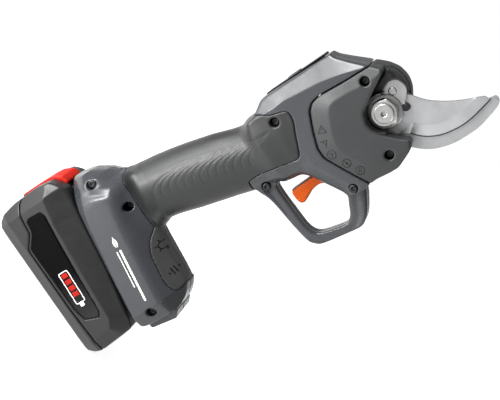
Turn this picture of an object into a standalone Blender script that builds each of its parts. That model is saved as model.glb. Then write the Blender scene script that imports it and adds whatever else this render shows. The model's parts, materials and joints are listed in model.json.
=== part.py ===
"""Battery electric pruner, standing upright on its battery.

The origin is the centre of the battery's flat bottom. +Z runs up towards the blades, +X points to the
trigger and its guard, and the tool's two halves meet at Y = 0. Lengths inside the functions are in
millimetres, and MM turns them into metres.
"""

import math

import bmesh
import bpy
import mathutils
import numpy as np

MM = 0.001
GAP = 0.3  # clearance between pieces that touch
WALL = 2.4  # moulded wall thickness

# Battery pack
BATTERY_HALF_WIDTH = 38.0
CELL_RADIUS = 9.1
CELL_LENGTH = 65.0
CELL_PITCH = 19.2
CELL_HEIGHT = 12.6

# Drive line: it leans 14 degrees forward and passes through the blade pivot
PIVOT_X, PIVOT_Z = 28.0, 266.0
LEAN = math.radians(14.0)
DRIVE_X, DRIVE_Z = math.sin(LEAN), math.cos(LEAN)
DRIVE_Y = 2.5  # the motor's axis stands this far to the +Y side of the parting plane

# Bevel pair between the pinion and the toothed sector on the drive plate
MODULE = 1.2
PINION_TEETH, SECTOR_TEETH = 10, 50
FACE_WIDTH = 5.5
MESH_ANGLE = 270.0 - math.degrees(LEAN)

# Planetary stage
PLANET_MODULE = 0.6
SUN_TEETH, PLANET_TEETH, RING_TEETH = 12, 15, 42
PLANET_ORBIT = PLANET_MODULE * (SUN_TEETH + PLANET_TEETH) / 2
PLANET_ANGLES = (0.0, 120.0, 240.0)
BACKLASH = 0.15

# Distances from the pivot, down the drive line
PINION_NEAR = 24.2
BEARING_NEAR, BEARING_FAR = 31.4, 36.4
GEARBOX_NEAR, GEARBOX_FAR = 36.8, 53.0
CARRIER_NEAR, CARRIER_FAR = 39.6, 42.6
PLANET_NEAR, PLANET_FAR = 43.2, 49.6
MOTOR_NEAR, MOTOR_FAR = 53.4, 104.0
BOARD_NEAR, BOARD_FAR = 112.0, 164.0

# Layers at the pivot, along Y, nearest first
NUT_LAYER = (-17.5, -10.6)
FLANGE_LAYER = (-10.8, -9.2)
PLATE_LAYER = (-8.8, -6.3)
BLADE_LAYER = (-6.0, -2.5)
COUNTER_LAYER = (-2.2, 1.8)
FRAME_LAYER = (2.1, 6.6)
BOLT_RADIUS = 5.0

# Half widths of the body
COVER_HALF = 22.5
GUARD_HALF = 8.0

COLOURS = {
    "housing": (0.14, 0.143, 0.148, 0.42, 0.0),
    "cover": (0.085, 0.085, 0.082, 0.6, 0.0),
    "grip": (0.065, 0.066, 0.062, 0.7, 0.0),
    "battery": (0.055, 0.055, 0.055, 0.5, 0.0),
    "label": (0.008, 0.008, 0.008, 0.12, 0.0),
    "orange": (0.78, 0.12, 0.02, 0.42, 0.0),
    "red": (0.70, 0.05, 0.02, 0.42, 0.0),
    "black": (0.012, 0.012, 0.012, 0.5, 0.0),
    "steel": (0.55, 0.55, 0.53, 0.3, 1.0),
    "bright_steel": (0.72, 0.72, 0.70, 0.18, 1.0),
    "black_steel": (0.03, 0.03, 0.03, 0.35, 1.0),
    "bronze": (0.45, 0.26, 0.1, 0.35, 1.0),
    "copper": (0.72, 0.32, 0.14, 0.35, 1.0),
    "board": (0.01, 0.12, 0.04, 0.5, 0.0),
    "cell": (0.05, 0.16, 0.42, 0.4, 0.0),
    "rubber": (0.015, 0.015, 0.015, 0.85, 0.0),
}


# ---------------------------------------------------------------- tools


def material(name, kind):
    made = bpy.data.materials.new(name)
    made.use_nodes = True
    red, green, blue, roughness, metallic = COLOURS[kind]
    shader = made.node_tree.nodes["Principled BSDF"]
    shader.inputs["Base Color"].default_value = (red, green, blue, 1.0)
    shader.inputs["Roughness"].default_value = roughness
    shader.inputs["Metallic"].default_value = metallic
    return made


def object_from(mesh_builder, name, kind="black"):
    """An object from a bmesh in millimetres, in world coordinates."""
    bmesh.ops.remove_doubles(mesh_builder, verts=mesh_builder.verts, dist=1e-5)
    bmesh.ops.recalc_face_normals(mesh_builder, faces=mesh_builder.faces)
    bmesh.ops.scale(mesh_builder, vec=(MM, MM, MM), verts=mesh_builder.verts)
    mesh = bpy.data.meshes.new(name)
    mesh_builder.to_mesh(mesh)
    mesh_builder.free()
    made = bpy.data.objects.new(name, mesh)
    bpy.context.scene.collection.objects.link(made)
    made.data.materials.append(material(name, kind))
    return made


def combine(target, tool, operation, keep_tool=False):
    """Applies a Boolean between two closed meshes and removes the tool."""
    modifier = target.modifiers.new("combine", "BOOLEAN")
    modifier.operation = operation
    modifier.solver = "MANIFOLD"
    modifier.object = tool
    graph = bpy.context.evaluated_depsgraph_get()
    mesh = bpy.data.meshes.new_from_object(target.evaluated_get(graph))
    target.modifiers.remove(modifier)
    old = target.data
    target.data = mesh
    bpy.data.meshes.remove(old)
    if not keep_tool:
        bpy.data.objects.remove(tool)
    return target


def cut(target, *tools):
    for tool in tools:
        combine(target, tool, "DIFFERENCE")
    return target


def join(target, *tools):
    for tool in tools:
        combine(target, tool, "UNION")
    return target


def keep(target, tool):
    return combine(target, tool, "INTERSECT")


def copy_of(source, name="copy"):
    made = bpy.data.objects.new(name, source.data.copy())
    bpy.context.scene.collection.objects.link(made)
    return made


def finished(made, name, kind):
    """Gives the object its final name and material, and smooth shading on its round faces."""
    made.name = name
    made.data.name = name
    made.data.materials.clear()
    made.data.materials.append(material(name, kind))
    made.data.shade_smooth()
    made.data.set_sharp_from_angle(angle=math.radians(32))
    return made


def inset(outline, amount):
    """The outline moved inwards (outwards if negative), with its corners mitred."""
    points = np.array(outline, float)
    before = points - np.roll(points, 1, axis=0)
    after = np.roll(points, -1, axis=0) - points
    area = 0.5 * np.sum(points[:, 0] * np.roll(points[:, 1], -1) - points[:, 1] * np.roll(points[:, 0], -1))
    side = math.copysign(1.0, area)
    normals = []
    for edge in (before, after):
        edge = edge / np.linalg.norm(edge, axis=1, keepdims=True)
        normals.append(side * np.stack([-edge[:, 1], edge[:, 0]], axis=1))
    middle = normals[0] + normals[1]
    scale = np.clip(np.sum(middle * normals[0], axis=1), 0.4, None)
    return points + amount * middle / scale[:, None]


def stack(name, layers, kind="black"):
    """A solid through closed outlines of equal length, each given as (y, points in XZ)."""
    builder = bmesh.new()
    rings = [[builder.verts.new((x, y, z)) for x, z in points] for y, points in layers]
    for low, high in zip(rings, rings[1:]):
        for i in range(len(low)):
            j = (i + 1) % len(low)
            builder.faces.new((low[i], low[j], high[j], high[i]))
    builder.faces.new(rings[0])
    builder.faces.new(rings[-1])
    bmesh.ops.triangulate(builder, faces=[face for face in builder.faces if len(face.verts) > 4])
    return object_from(builder, name, kind)


def prism(name, outline, near, far, kind="black", near_rim=0.0, far_rim=0.0, slope=1.0):
    """An outline in XZ drawn out along Y. A rim chamfers that end: slope is its in-plane width over depth."""
    layers = [(near, outline), (far, outline)]
    if near_rim:
        layers = [(near, inset(outline, abs(near_rim) * slope)), (near + near_rim, outline), layers[-1]]
    if far_rim:
        layers[-1:] = [(far - far_rim, outline), (far, inset(outline, abs(far_rim) * slope))]
    return stack(name, layers, kind)


def box(name, low, high, kind="black"):
    outline = [(low[0], low[2]), (high[0], low[2]), (high[0], high[2]), (low[0], high[2])]
    return prism(name, outline, low[1], high[1], kind)


def circle(centre, radius, sides=24, start=0.0):
    turns = [start + 2 * math.pi * i / sides for i in range(sides)]
    return [(centre[0] + radius * math.cos(turn), centre[1] + radius * math.sin(turn)) for turn in turns]


def disc(name, centre, radius, near, far, kind="black", sides=24, rim=0.0, start=0.0):
    """A round piece whose axis is parallel to Y."""
    return prism(name, circle(centre, radius, sides, start), near, far, kind, near_rim=rim)


def arc(centre, radius, start, end, count):
    """Points along an arc, from start to end in degrees."""
    turns = np.radians(np.linspace(start, end, count))
    return [(centre[0] + radius * math.cos(turn), centre[1] + radius * math.sin(turn)) for turn in turns]


def drive_point(distance, across=0.0, side=0.0):
    """World point at a distance down the drive line, then across it in XZ and to its side in Y."""
    x = PIVOT_X - DRIVE_X * distance + DRIVE_Z * across
    z = PIVOT_Z - DRIVE_Z * distance - DRIVE_X * across
    return (x, DRIVE_Y + side, z)


def along_drive(name, layers, kind="black"):
    """A solid through cross-sections of the drive line: (distance, [(across, side), ...])."""
    builder = bmesh.new()
    rings = [[builder.verts.new(drive_point(far, *point)) for point in points] for far, points in layers]
    for low, high in zip(rings, rings[1:]):
        for i in range(len(low)):
            j = (i + 1) % len(low)
            builder.faces.new((low[i], low[j], high[j], high[i]))
    builder.faces.new(rings[0])
    builder.faces.new(rings[-1])
    bmesh.ops.triangulate(builder, faces=[face for face in builder.faces if len(face.verts) > 4])
    return object_from(builder, name, kind)


def rod(name, near, far, radius, kind="black", sides=24, centre=(0.0, 0.0)):
    outline = circle(centre, radius, sides)
    return along_drive(name, [(near, outline), (far, outline)], kind)


# ---------------------------------------------------------------- body shells

HANDLE_RINGS = (
    # back (x, z), front (x, z), half width, squareness
    ((-53.0, 57.0), (58.0, 41.5), 35.5, 5.0),
    ((-55.5, 61.5), (63.0, 50.5), 37.0, 5.0),
    ((-49.5, 78.0), (62.5, 69.5), 36.0, 4.5),
    ((-45.6, 82.5), (56.0, 79.0), 33.0, 4.0),
    ((-41.5, 86.5), (45.0, 84.5), 28.0, 3.2),
    ((-38.7, 90.0), (25.0, 87.5), 23.5, 2.6),
    ((-37.2, 95.5), (9.5, 93.5), 20.0, 2.3),
    ((-36.4, 103.1), (7.5, 100.0), 18.8, 2.2),
    ((-32.1, 126.8), (13.5, 121.5), 18.5, 2.2),
    ((-25.2, 153.6), (20.5, 148.0), 18.5, 2.2),
    ((-18.3, 174.9), (26.0, 168.0), 18.5, 2.3),
    ((-17.2, 186.0), (28.4, 181.0), 19.0, 2.6),
)
RING_POINTS = 28

HEAD_BACK = (
    (-17.3, 184.0), (-18.4, 190.0), (-25.5, 200.0), (-26.4, 205.0), (-25.9, 257.2),
    (-21.3, 259.5), (-15.0, 265.4), (-7.3, 273.3), (2.9, 283.3),
)
NUT_RECESS = ((14.0, 264.9), (19.5, 255.9), (27.3, 253.0), (32.8, 254.1), (39.0, 258.0), (47.2, 266.1))
NOSE = ((9.2, 287.1), (15.0, 288.5), (20.4, 288.3), (26.2, 286.6), (36.0, 280.5), (45.0, 274.0))
HEAD_FRONT = (
    (50.8, 270.9), (53.1, 271.3), (56.3, 269.0), (58.4, 266.1), (63.4, 254.1), (63.2, 247.2),
    (62.0, 237.3), (62.8, 226.0), (62.5, 213.5), (57.3, 211.5), (44.0, 203.5), (37.9, 200.0),
    (31.7, 195.7), (30.1, 193.3), (28.2, 182.0),
)
SEAM = (
    (-4.0, 276.6), (-4.9, 255.1), (-6.4, 236.6), (-5.1, 230.0), (-1.2, 225.6), (11.0, 220.0),
    (23.1, 215.7), (30.6, 215.8), (45.1, 223.1), (61.0, 231.3),
)
COVER_REGION = SEAM + ((80.0, 241.0), (80.0, 310.0), (-4.0, 310.0))
GUARD = (
    (48.0, 222.0), (62.8, 227.0), (80.2, 215.9), (85.0, 208.8), (84.0, 199.2), (80.6, 179.2),
    (78.8, 175.2), (74.6, 171.2), (68.3, 169.5), (57.9, 168.0), (34.8, 165.7), (25.7, 161.6),
    (12.0, 158.0), (12.0, 178.5), (27.3, 177.0), (29.7, 173.9), (61.5, 175.0), (67.4, 176.1),
    (71.5, 178.5), (73.9, 182.9), (77.6, 198.5), (76.7, 202.5), (73.7, 205.8), (67.2, 209.0),
    (61.5, 212.1), (48.0, 207.5),
)
SIDES = (("left", -1.0), ("right", 1.0))
FAR = 200.0


def ring_points(ring, shrink=0.0):
    """A rounded section of the handle or foot, as (x, y, z) points."""
    back, front, half_width, squareness = ring
    back, front = np.array(back), np.array(front)
    along = (front - back) / np.linalg.norm(front - back)
    half_length = np.linalg.norm(front - back) / 2 - shrink
    centre = (front + back) / 2
    points = []
    for i in range(RING_POINTS):
        turn = 2 * math.pi * (i + 0.5) / RING_POINTS
        u = math.copysign(abs(math.cos(turn)) ** (2 / squareness), math.cos(turn))
        v = math.copysign(abs(math.sin(turn)) ** (2 / squareness), math.sin(turn))
        x, z = centre + along * half_length * u
        points.append((x, (half_width - shrink) * v, z))
    return points


def loft(name, rings):
    builder = bmesh.new()
    loops = [[builder.verts.new(point) for point in ring] for ring in rings]
    for low, high in zip(loops, loops[1:]):
        for i in range(len(low)):
            j = (i + 1) % len(low)
            builder.faces.new((low[i], low[j], high[j], high[i]))
    builder.faces.new(loops[0])
    builder.faces.new(loops[-1])
    bmesh.ops.triangulate(builder, faces=builder.faces)
    return object_from(builder, name)


def handle_loft(shrink=0.0, rise=0.0):
    """The handle and foot. A rise lifts the lowest ring, which leaves a floor in the hollow."""
    rings = [ring_points(ring, shrink) for ring in HANDLE_RINGS]
    rings[0] = [(x, y, z + rise) for x, y, z in rings[0]]
    if rise:
        rings.append([(x, y, z + 6.0) for x, y, z in rings[-1]])
    return loft("handle", rings)


def half_space(sign, name="half"):
    """Everything on one side of the parting plane."""
    low, high = sorted((sign * GAP / 2, sign * FAR))
    return box(name, (-FAR, low, -FAR), (FAR, high, 2 * FAR))


def head_outline(sign):
    top = NUT_RECESS if sign < 0 else NOSE
    return HEAD_BACK + top + HEAD_FRONT


def head_hollow(sign):
    """The space inside the head: an outer layer behind the cover, and a middle one open to the blades."""
    outline = head_outline(sign)
    shelf = 9.2 if sign < 0 else 7.1
    outer = prism("outer", inset(outline, WALL), sign * (shelf - 0.45), sign * (COVER_HALF - WALL))
    thicker = [tuple(point) for point in inset(outline, WALL + 0.6)]
    inner_back, front = thicker[: len(HEAD_BACK)], thicker[-11:]
    middle = inner_back + [(4.0, 300.0), (70.0, 300.0), (70.0, 256.5), (61.0, 252.0)] + front
    return join(outer, prism("middle", middle, -sign * 1.0, sign * shelf))


def trigger_slot():
    return box("slot", (20.0, -7.4, 177.5), (50.0, 7.4, 214.0))


def display_pocket():
    return box("pocket", (-30.0, -12.3, 206.0), (-24.9, 12.3, 254.0))


def terminal_window():
    return box("window", (-7.0, -14.0, 30.0), (22.0, 14.0, 60.0))


GRIP_RINGS = (6, 7, 8, 9, 10)
GRIP_DEPTH = 1.6


def grip_solid(outset, depth):
    """A sleeve on the handle that leaves its front face bare of rubber."""
    rings = [ring_points(HANDLE_RINGS[i], -outset) for i in GRIP_RINGS]
    sleeve = loft("sleeve", rings)
    core = loft("core", [ring_points(ring, depth) for ring in HANDLE_RINGS[5:]])
    return cut(sleeve, core, prism("front", GRIP_FRONT, -FAR, FAR))


HOUSING_SCREWS = (
    # x, z, half width there
    (-43.4, 71.5, 27.0), (-16.5, 84.0, 20.0), (52.5, 56.5, 30.0),
    (-8.1, 201.4, 17.5), (25.8, 169.0, 8.5), (58.6, 220.5, 18.6),
)
COVER_SCREWS = ((2.7, 268.3), (52.6, 254.3))
COVER_SCREW_DEPTH = 16.0
SCREW_RADIUS = 2.9
SCREW_HEAD = 2.2
BOSS_RADIUS = 5.2
BOSS_LENGTH = 5.0
PAD = (
    (9.5, 92.5), (4.8, 88.8), (11.5, 81.8), (20.0, 77.8), (43.0, 74.4), (50.5, 76.5), (51.0, 81.0),
    (47.0, 88.0),
)
PAD_DEPTH = 1.3
GRIP_FRONT = ((17.0, 163.0), (60.0, 158.0), (60.0, 240.0), (22.0, 240.0))
HOLE_RADIUS = 3.3
COVER_RIM = 4.0  # depth over which the head slopes in towards its sides


def housing_half(sign):
    outline = head_outline(sign)
    shell = handle_loft()
    head = prism("head", outline, sign * 0.0, sign * COVER_HALF, far_rim=sign * COVER_RIM, slope=1.0)
    guard = prism("guard", GUARD, -GUARD_HALF, GUARD_HALF, near_rim=1.5, far_rim=1.5)
    join(shell, head, guard)
    hollow = handle_loft(WALL + GRIP_DEPTH, rise=4.5)
    join(hollow, head_hollow(sign))
    bosses = [(x, z, depth) for x, z, depth in HOUSING_SCREWS]
    bosses += [(x, z, COVER_SCREW_DEPTH) for x, z in COVER_SCREWS]
    for x, z, depth in bosses if sign < 0 else ():
        cut(hollow, disc("boss", (x, z), BOSS_RADIUS, -FAR, BOSS_LENGTH - depth, sides=10))
    cut(shell, hollow)
    cut(shell, trigger_slot(), display_pocket(), terminal_window(), grip_solid(3.0, GRIP_DEPTH + GAP))
    pad_recess = prism("recess", inset(PAD, -GAP), -FAR, -14.0 + GAP)
    cut(shell, cut(pad_recess, handle_loft(PAD_DEPTH + GAP)))
    for x, z, depth in bosses:
        cut(shell, disc("hole", (x, z), HOLE_RADIUS, -FAR, -depth, sides=12))
        cut(shell, disc("shank", (x, z), 1.3 + GAP, -FAR, -1.0, sides=12))
    return keep(shell, half_space(sign))


def housings_and_covers():
    for side, sign in SIDES:
        shell = housing_half(sign)
        cover = copy_of(shell, "cover")
        keep(cover, prism("region", inset(COVER_REGION, GAP / 2), -FAR, FAR))
        cut(shell, prism("region", inset(COVER_REGION, -GAP / 2), -FAR, FAR))
        largest_only(shell)
        largest_only(cover)
        finished(shell, "housing_" + side, "housing")
        finished(cover, "gear_cover_" + side, "cover")


def largest_only(made):
    """Drops crumbs that a cut leaves beside the main body."""
    builder = bmesh.new()
    builder.from_mesh(made.data)
    builder.verts.ensure_lookup_table()
    unseen = set(builder.verts)
    groups = []
    while unseen:
        group, edge = set(), [unseen.pop()]
        while edge:
            vertex = edge.pop()
            group.add(vertex)
            for link in vertex.link_edges:
                other = link.other_vert(vertex)
                if other in unseen:
                    unseen.discard(other)
                    edge.append(other)
        groups.append(group)
    groups.sort(key=len)
    crumbs = [vertex for group in groups[:-1] for vertex in group]
    bmesh.ops.delete(builder, geom=crumbs, context="VERTS")
    builder.to_mesh(made.data)
    builder.free()


def grips():
    for side, sign in SIDES:
        sleeve = grip_solid(0.0, GRIP_DEPTH)
        cut(sleeve, prism("front", inset(GRIP_FRONT, -GAP), -FAR, FAR))
        keep(sleeve, half_space(sign))
        finished(sleeve, "grip_" + side, "grip")


# ---------------------------------------------------------------- small parts of the body


def front_pad():
    """The soft pad at the heel of the handle, let into the foot's front."""
    block = prism("pad", PAD, -FAR, -14.0)
    keep(block, handle_loft(-0.5))
    cut(block, handle_loft(PAD_DEPTH))
    largest_only(block)
    return finished(block, "front_pad", "grip")


def control_panel():
    """The panel on the back of the head, with a square window for the power button."""
    panel = box("panel", (-27.2, -11.9, 206.4), (-25.4, 11.9, 253.6))
    cut(panel, box("window", (-40.0, -5.3, 222.7), (-20.0, 5.3, 233.3)))
    finished(panel, "control_panel", "label")
    button = box("button", (-27.9, -5.0, 223.0), (-25.6, 5.0, 233.0))
    finished(button, "power_button", "black")


def screw(name, x, z, head_y, length):
    """A screw along +Y with a six-sided recess in its head."""
    head = disc("head", (x, z), SCREW_RADIUS, head_y, head_y + SCREW_HEAD, sides=16, rim=0.4)
    shank = disc("shank", (x, z), 1.3, head_y + 1.5, head_y + length, sides=10)
    join(head, shank)
    cut(head, disc("recess", (x, z), 1.5, head_y - 1.0, head_y + 1.2, sides=6))
    return finished(head, name, "black_steel")


def screws():
    for number, (x, z, depth) in enumerate(HOUSING_SCREWS, 1):
        screw("housing_screw_%d" % number, x, z, -depth - SCREW_HEAD - GAP, 9.0)
    for number, (x, z) in enumerate(COVER_SCREWS, 1):
        screw("cover_screw_%d" % number, x, z, -COVER_SCREW_DEPTH - SCREW_HEAD - GAP, 7.0)


TRIGGER_PIVOT = (44.0, 211.6)


def trigger():
    outline = (
        (37.0, 214.5), (36.6, 206.0), (37.9, 199.0), (38.1, 182.6), (39.2, 179.9), (46.0, 180.3),
        (49.0, 181.7), (49.6, 184.5), (47.9, 187.6), (45.2, 193.4), (44.4, 200.0), (47.6, 206.0),
        (48.0, 212.0), (44.0, 216.5),
    )
    lever = prism("lever", outline, -6.6, 6.6, near_rim=1.2, far_rim=1.2)
    cut(lever, disc("bore", TRIGGER_PIVOT, 1.8, -10.0, 10.0, sides=16))
    finished(lever, "trigger", "orange")
    backing = ((32.6, 189.5), (37.3, 187.0), (37.1, 199.0), (35.9, 206.0), (34.4, 206.0), (32.8, 199.0))
    finished(prism("backing", backing, -5.6, 5.6, near_rim=0.6, far_rim=0.6), "trigger_insert", "black")
    pin = disc("pin", TRIGGER_PIVOT, 1.4, -10.5, 10.5, sides=16)
    finished(pin, "trigger_pin", "steel")
    board = box("board", (24.8, -6.8, 188.0), (26.0, 6.8, 203.0))
    finished(board, "trigger_sensor_board", "board")


def coil(name, start, end, radius, wire, turns, kind="steel", sides=8):
    """A compression spring between two points, as one closed tube."""
    start, end = np.array(start, float), np.array(end, float)
    axis = (end - start) / np.linalg.norm(end - start)
    across = np.cross(axis, (0.0, 1.0, 0.0))
    across /= np.linalg.norm(across)
    up = np.cross(axis, across)
    centres = []
    for i in range(turns * sides + 1):
        turn = 2 * math.pi * i / sides
        place = start + (end - start) * i / (turns * sides)
        centres.append(place + radius * (math.cos(turn) * across + math.sin(turn) * up))
    builder = bmesh.new()
    rings = []
    for i, centre in enumerate(centres):
        ahead = centres[min(i + 1, len(centres) - 1)] - centres[max(i - 1, 0)]
        ahead /= np.linalg.norm(ahead)
        outward = centre - start - axis * np.dot(centre - start, axis)
        outward -= ahead * np.dot(outward, ahead)
        outward /= np.linalg.norm(outward)
        third = np.cross(ahead, outward)
        ring = []
        for side in range(5):
            turn = 2 * math.pi * side / 5
            offset = math.cos(turn) * outward + math.sin(turn) * third
            ring.append(builder.verts.new(centre + wire * offset))
        rings.append(ring)
    for low, high in zip(rings, rings[1:]):
        for i in range(5):
            j = (i + 1) % 5
            builder.faces.new((low[i], low[j], high[j], high[i]))
    builder.faces.new(rings[0])
    builder.faces.new(rings[-1])
    return finished(object_from(builder, name), name, kind)


# ---------------------------------------------------------------- gears


def involute(angle):
    return math.tan(angle) - angle


def gear_outline(teeth, module, addendum, dedendum, thinning, phase):
    """Outline of a spur gear with 20 degree involute flanks, one tooth centred on the phase in degrees."""
    pitch = module * teeth / 2
    base = pitch * math.cos(math.radians(20.0))
    half_at_pitch = math.pi / (2 * teeth) - thinning / (2 * pitch)

    def half_angle(radius):
        slope = math.acos(base / radius) if radius > base else 0.0
        return half_at_pitch + involute(math.radians(20.0)) - involute(slope)

    radii = (pitch - dedendum, pitch - 0.1 * module, pitch + addendum)
    points = []
    for tooth in range(teeth):
        middle = math.radians(phase) + 2 * math.pi * tooth / teeth
        flank = [(radius, half_angle(radius)) for radius in radii]
        sides = [(radius, -turn) for radius, turn in flank] + [(radius, turn) for radius, turn in flank[::-1]]
        for radius, turn in sides:
            points.append((radius * math.cos(middle + turn), radius * math.sin(middle + turn)))
    return points


def bevel_pinion():
    """Its cone's apex is on the pivot axis, so a section grows with its distance from the pivot."""
    pitch = MODULE * PINION_TEETH / 2
    full = gear_outline(PINION_TEETH, MODULE, 0.95, 1.1, 0.3, -90.0)
    reach = MODULE * SECTOR_TEETH / 2
    near, far = PINION_NEAR, PINION_NEAR + FACE_WIDTH
    layers = [(s, [(x * s / reach, y * s / reach) for x, y in full]) for s in (near, far)]
    pinion = along_drive("pinion", layers)
    join(pinion, rod("hub", far - 0.5, CARRIER_NEAR + 0.5, 3.2, sides=16))
    cut(pinion, rod("centre", near - 1.0, near + 1.0, pitch * 0.35, sides=8))
    return finished(pinion, "bevel_pinion", "steel")


def sector_teeth():
    """The sector's teeth stand on the drive plate's far face, and shrink towards the pivot axis."""
    outer = MODULE * SECTOR_TEETH / 2
    inner = outer - FACE_WIDTH
    step = 360.0 / SECTOR_TEETH
    rise = PINION_TEETH / SECTOR_TEETH  # the pitch cone's slope
    teeth = []
    for number in range(8):
        middle = math.radians(MESH_ANGLE + step * (0.5 - number))
        builder = bmesh.new()
        rings = []
        for radius in (inner, outer + 0.2):
            scale = radius / outer
            pitch_y = DRIVE_Y - rise * radius
            ring = []
            for height, half in ((-4.4, 2.55), (0.62, 0.46)):
                for side in (-1.0, 1.0):
                    width = side * half * scale
                    x = PIVOT_X + radius * math.cos(middle) - width * math.sin(middle)
                    z = PIVOT_Z + radius * math.sin(middle) + width * math.cos(middle)
                    y = max(pitch_y + height * scale, PLATE_LAYER[1] - 0.4)
                    ring.append(builder.verts.new((x, y, z)))
            rings.append([ring[0], ring[1], ring[3], ring[2]])
        for i in range(4):
            j = (i + 1) % 4
            builder.faces.new((rings[0][i], rings[0][j], rings[1][j], rings[1][i]))
        builder.faces.new(rings[0])
        builder.faces.new(rings[1])
        teeth.append(object_from(builder, "tooth"))
    return teeth


PEAR = (
    (12.4, 279.5), (13.4, 283.0), (15.8, 285.3), (19.6, 286.5), (23.2, 286.3), (26.6, 283.9), (31.2, 279.2),
    (36.1, 275.4), (39.2, 271.2), (40.2, 266.0), (39.2, 260.6),
)
RIVET = (19.2, 277.7)
DRIVE_PIN = (33.2, 279.2)


def drive_gear():
    centre = (PIVOT_X, PIVOT_Z)
    outline = list(PEAR) + arc(centre, 12.4, -38.0, -92.0, 6)
    outline += arc(centre, 30.4, 264.0, 200.0, 14) + arc(centre, 13.6, 184.0, 162.0, 3)
    plate = prism("plate", outline, *PLATE_LAYER, near_rim=0.5)
    join(plate, *sector_teeth())
    cut(plate, disc("bore", centre, 6.8, -20.0, 0.0, sides=24))
    for place in (RIVET, DRIVE_PIN):
        cut(plate, disc("hole", place, 2.9, -20.0, 0.0, sides=16))
    return finished(plate, "drive_gear", "steel")


BLADE_SPINE = (
    (26.1, 283.6), (28.2, 286.1), (33.5, 289.8), (38.6, 294.5), (45.3, 303.6), (51.6, 315.4),
    (55.7, 326.2), (57.6, 327.3), (60.5, 328.6),
)
BLADE_EDGE = (
    (61.5, 324.7), (62.9, 318.3), (64.3, 311.8), (65.1, 303.2), (64.0, 293.6), (62.3, 286.7),
    (58.3, 278.9), (53.8, 273.8), (50.0, 270.8),
)
BLADE_HUB_RADIUS = 17.6


def cutting_blade():
    centre = (PIVOT_X, PIVOT_Z)
    hub = arc(centre, BLADE_HUB_RADIUS, 2.0, -222.0, 22)
    near = list(BLADE_SPINE + BLADE_EDGE)
    ground = len(BLADE_SPINE)
    bevelled = [(x - 2.2, z) if i >= ground - 1 else (x, z) for i, (x, z) in enumerate(near)]
    low, high = BLADE_LAYER
    layers = [(low, bevelled + hub), (high - 0.5, near + hub), (high, near + hub)]
    blade = stack("blade", layers)
    cut(blade, disc("bore", centre, 6.8, -20.0, 10.0, sides=24))
    for place in (RIVET, DRIVE_PIN):
        cut(blade, disc("hole", place, 2.9, -20.0, 10.0, sides=16))
    return finished(blade, "cutting_blade", "steel")


COUNTER_OUTER = (
    (59.9, 330.9), (60.4, 332.7), (62.7, 333.3), (65.9, 332.0), (67.8, 327.6), (69.8, 320.8),
    (72.1, 312.1), (72.4, 303.9), (72.2, 293.6), (70.8, 286.5), (67.6, 277.3), (62.5, 270.2),
    (58.3, 265.8), (51.0, 260.5),
)
COUNTER_INNER = (
    (32.0, 283.8), (44.0, 277.6), (51.0, 278.4), (56.0, 283.5), (59.8, 290.0), (61.6, 296.0),
    (62.4, 303.2), (61.8, 310.6), (60.6, 318.0), (59.0, 325.0),
)
COUNTER_SCREWS = ((41.2, 267.6), (18.6, 279.0))


def counter_blade():
    centre = (PIVOT_X, PIVOT_Z)
    outline = list(COUNTER_OUTER) + arc(centre, 18.5, -25.0, -250.0, 22) + list(COUNTER_INNER)
    blade = prism("counter", outline, *COUNTER_LAYER, near_rim=0.0, far_rim=0.9)
    cut(blade, disc("bore", centre, BOLT_RADIUS + GAP, -20.0, 20.0, sides=24))
    for place in COUNTER_SCREWS:
        cut(blade, disc("hole", place, 2.3, -20.0, 20.0, sides=12))
    return finished(blade, "counter_blade", "steel")


def head_frame():
    """The steel plate that the counter blade, the pivot bolt and the gearbox are fastened to."""
    feet = GEARBOX_NEAR - 1.0
    flat = [(17.0, feet), (17.0, 12.0)]
    outline = [drive_xz(s, a) for a, s in flat]
    outline += [(49.5, 262.0), (50.0, 268.0), (46.5, 275.0)] + arc((PIVOT_X, PIVOT_Z), 18.5, 60.0, 165.0, 10)
    fork = ((-17.0, 12.0), (-17.0, feet), (-8.4, feet), (-8.4, 22.8), (8.4, 22.8), (8.4, feet))
    outline += [drive_xz(s, a) for a, s in fork]
    plate = prism("frame", outline, *FRAME_LAYER)
    cut(plate, disc("bore", (PIVOT_X, PIVOT_Z), BOLT_RADIUS + GAP, -20.0, 20.0, sides=24))
    for place in COUNTER_SCREWS:
        cut(plate, disc("hole", place, 2.3, -20.0, 20.0, sides=12))
    finished(plate, "head_frame", "steel")
    for number, place in enumerate(COUNTER_SCREWS, 1):
        body = disc("head", place, 3.6, FRAME_LAYER[1] + GAP, FRAME_LAYER[1] + 2.6, sides=16)
        join(body, disc("shank", place, 2.0, COUNTER_LAYER[0] + 0.2, FRAME_LAYER[1] + 1.0, sides=12))
        finished(body, "counter_blade_screw_%d" % number, "black_steel")


def drive_xz(distance, across):
    x, _, z = drive_point(distance, across)
    return (x, z)


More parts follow.
